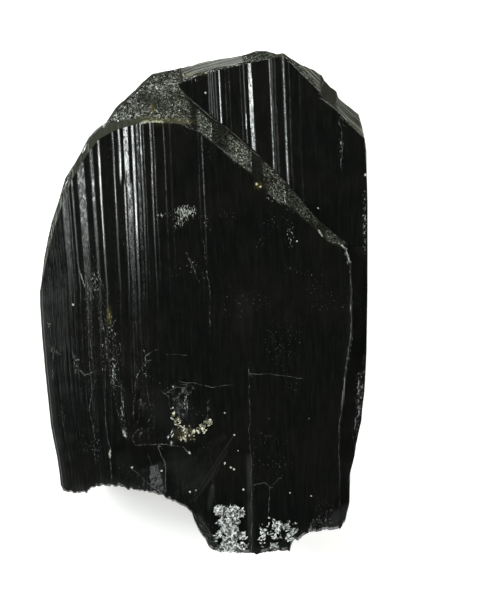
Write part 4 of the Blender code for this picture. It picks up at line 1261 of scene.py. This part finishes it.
def patches(front):
    """The mica patches on the foot and the feldspar grains in the scar."""
    grey_green, white = (0.06, 0.068, 0.06), (0.95, 0.97, 0.96)
    iron_stain, yellowish = (0.05, 0.042, 0.02), (0.86, 0.84, 0.66)
    materials = {
        "mica": patch_material(
            "mica", (1.6, 0.35), (0.25, 0.75), (grey_green, white), (6.0, 0.2, 0.6), (12.0, 0.05, 0.5)),
        "feldspar": patch_material(
            "feldspar", (1.8, 0.3), (0.3, 0.9), (iron_stain, yellowish), (5.0, 0.35, 0.7), (9.0, 0.06, 0.6)),
    }
    for node_name, name, kind, lobes, count, seed, gaps, largest, power, *shape in PATCHES:
        centres = patch_centres(front, lobes, count, seed, gaps)
        rng = np.random.default_rng(seed + 40)
        sizes = rng.uniform(0.3, 1.0, len(centres)) ** power * largest
        finish_piece(flakes_mesh(name, centres, sizes, seed, *shape), materials[kind], node_name)


def studio_floor():
    """A pale, faintly glowing floor that reaches out of every view."""
    corners = np.array([(-1, -1, 0), (1, -1, 0), (1, 1, 0), (-1, 1, 0)]) * FLOOR_REACH
    floor = make_mesh("floor", corners, np.array([(0, 1, 2, 3)]))
    material, _, shader = new_material("floor")
    feed(shader, {
        "Base Color": (0.92, 0.92, 0.91, 1),
        "Roughness": 0.8,
        "Emission Color": (1, 1, 0.97, 1),
        "Emission Strength": 0.5,
    })
    floor.data.materials.append(material)


def main():
    crystal, front = columbite_crystal()
    finish_piece(crystal, columbite_material(), "columbite_crystal")
    patches(front)
    studio_floor()


def camera():
    """A long lens straight above the crystal."""
    data = bpy.data.cameras.new("camera")
    data.sensor_width = SENSOR
    data.sensor_fit = "AUTO"
    data.lens = SENSOR * CAMERA_DISTANCE / FRAME_HEIGHT
    data.clip_end = 20
    obj = bpy.data.objects.new("camera", data)
    x, y, z = FRAME_MIDDLE
    obj.location = [v * MM for v in (x, y, z + CAMERA_DISTANCE)]
    bpy.context.scene.collection.objects.link(obj)
    bpy.context.scene.camera = obj


def softbox(name, azimuth, off_zenith, distance, size, power,
            color=(1, 1, 1), aim=(0, 0, 10), mirrored=True):
    """A lamp that faces the crystal from an angle round it and an angle off the zenith, in degrees. One that
    isn't mirrored lights the grains but leaves no bright sheet on the polished faces."""
    a, e = math.radians(azimuth), math.radians(off_zenith)
    way = np.array([math.cos(a) * math.sin(e), math.sin(a) * math.sin(e), math.cos(e)])
    data = bpy.data.lights.new(name, "AREA")
    data.shape = "RECTANGLE"
    data.size, data.size_y = size[0] * MM, size[1] * MM
    data.energy = power
    data.color = color
    obj = bpy.data.objects.new(name, data)
    obj.location = (np.array(aim) + way * distance) * MM
    obj.rotation_euler = Vector(way).to_track_quat("Z", "Y").to_euler()
    obj.visible_glossy = mirrored
    bpy.context.scene.collection.objects.link(obj)


def world():
    """Light from all round: bright near the horizon, nearly black overhead."""
    scene_world = bpy.data.worlds.new("studio")
    bpy.context.scene.world = scene_world
    scene_world.use_nodes = True
    tree = scene_world.node_tree
    way = node(tree, "ShaderNodeTexCoord").outputs["Generated"]
    up = node(tree, "ShaderNodeSeparateXYZ", {0: way}).outputs["Z"]
    glow = ranged(tree, up, 0.3, 0.75, 1.3, 0.01, interpolation_type="SMOOTHSTEP")
    feed(tree.nodes["Background"], {"Strength": glow})


main()
camera()
world()
softbox("key", 180, 50, 400, (230, 98), 1.5, color=(0.945, 1.0, 0.985), aim=(0, 118, 10))
softbox("key_skirt", 180, 33, 400, (230, 118), 0.13, color=(0.93, 0.99, 0.98), aim=(0, 115, 10))
softbox("fill_top", 90, 66, 500, (400, 200), 1.6, color=(0.98, 1.0, 0.92), mirrored=False)
softbox("fill_right", 0, 68, 500, (300, 300), 2.6, mirrored=False)
softbox("fill_foot", 270, 74, 500, (400, 120), 0.8, mirrored=False)
bpy.context.scene.view_settings.view_transform = "Standard"
bpy.context.scene.view_settings.look = "None"
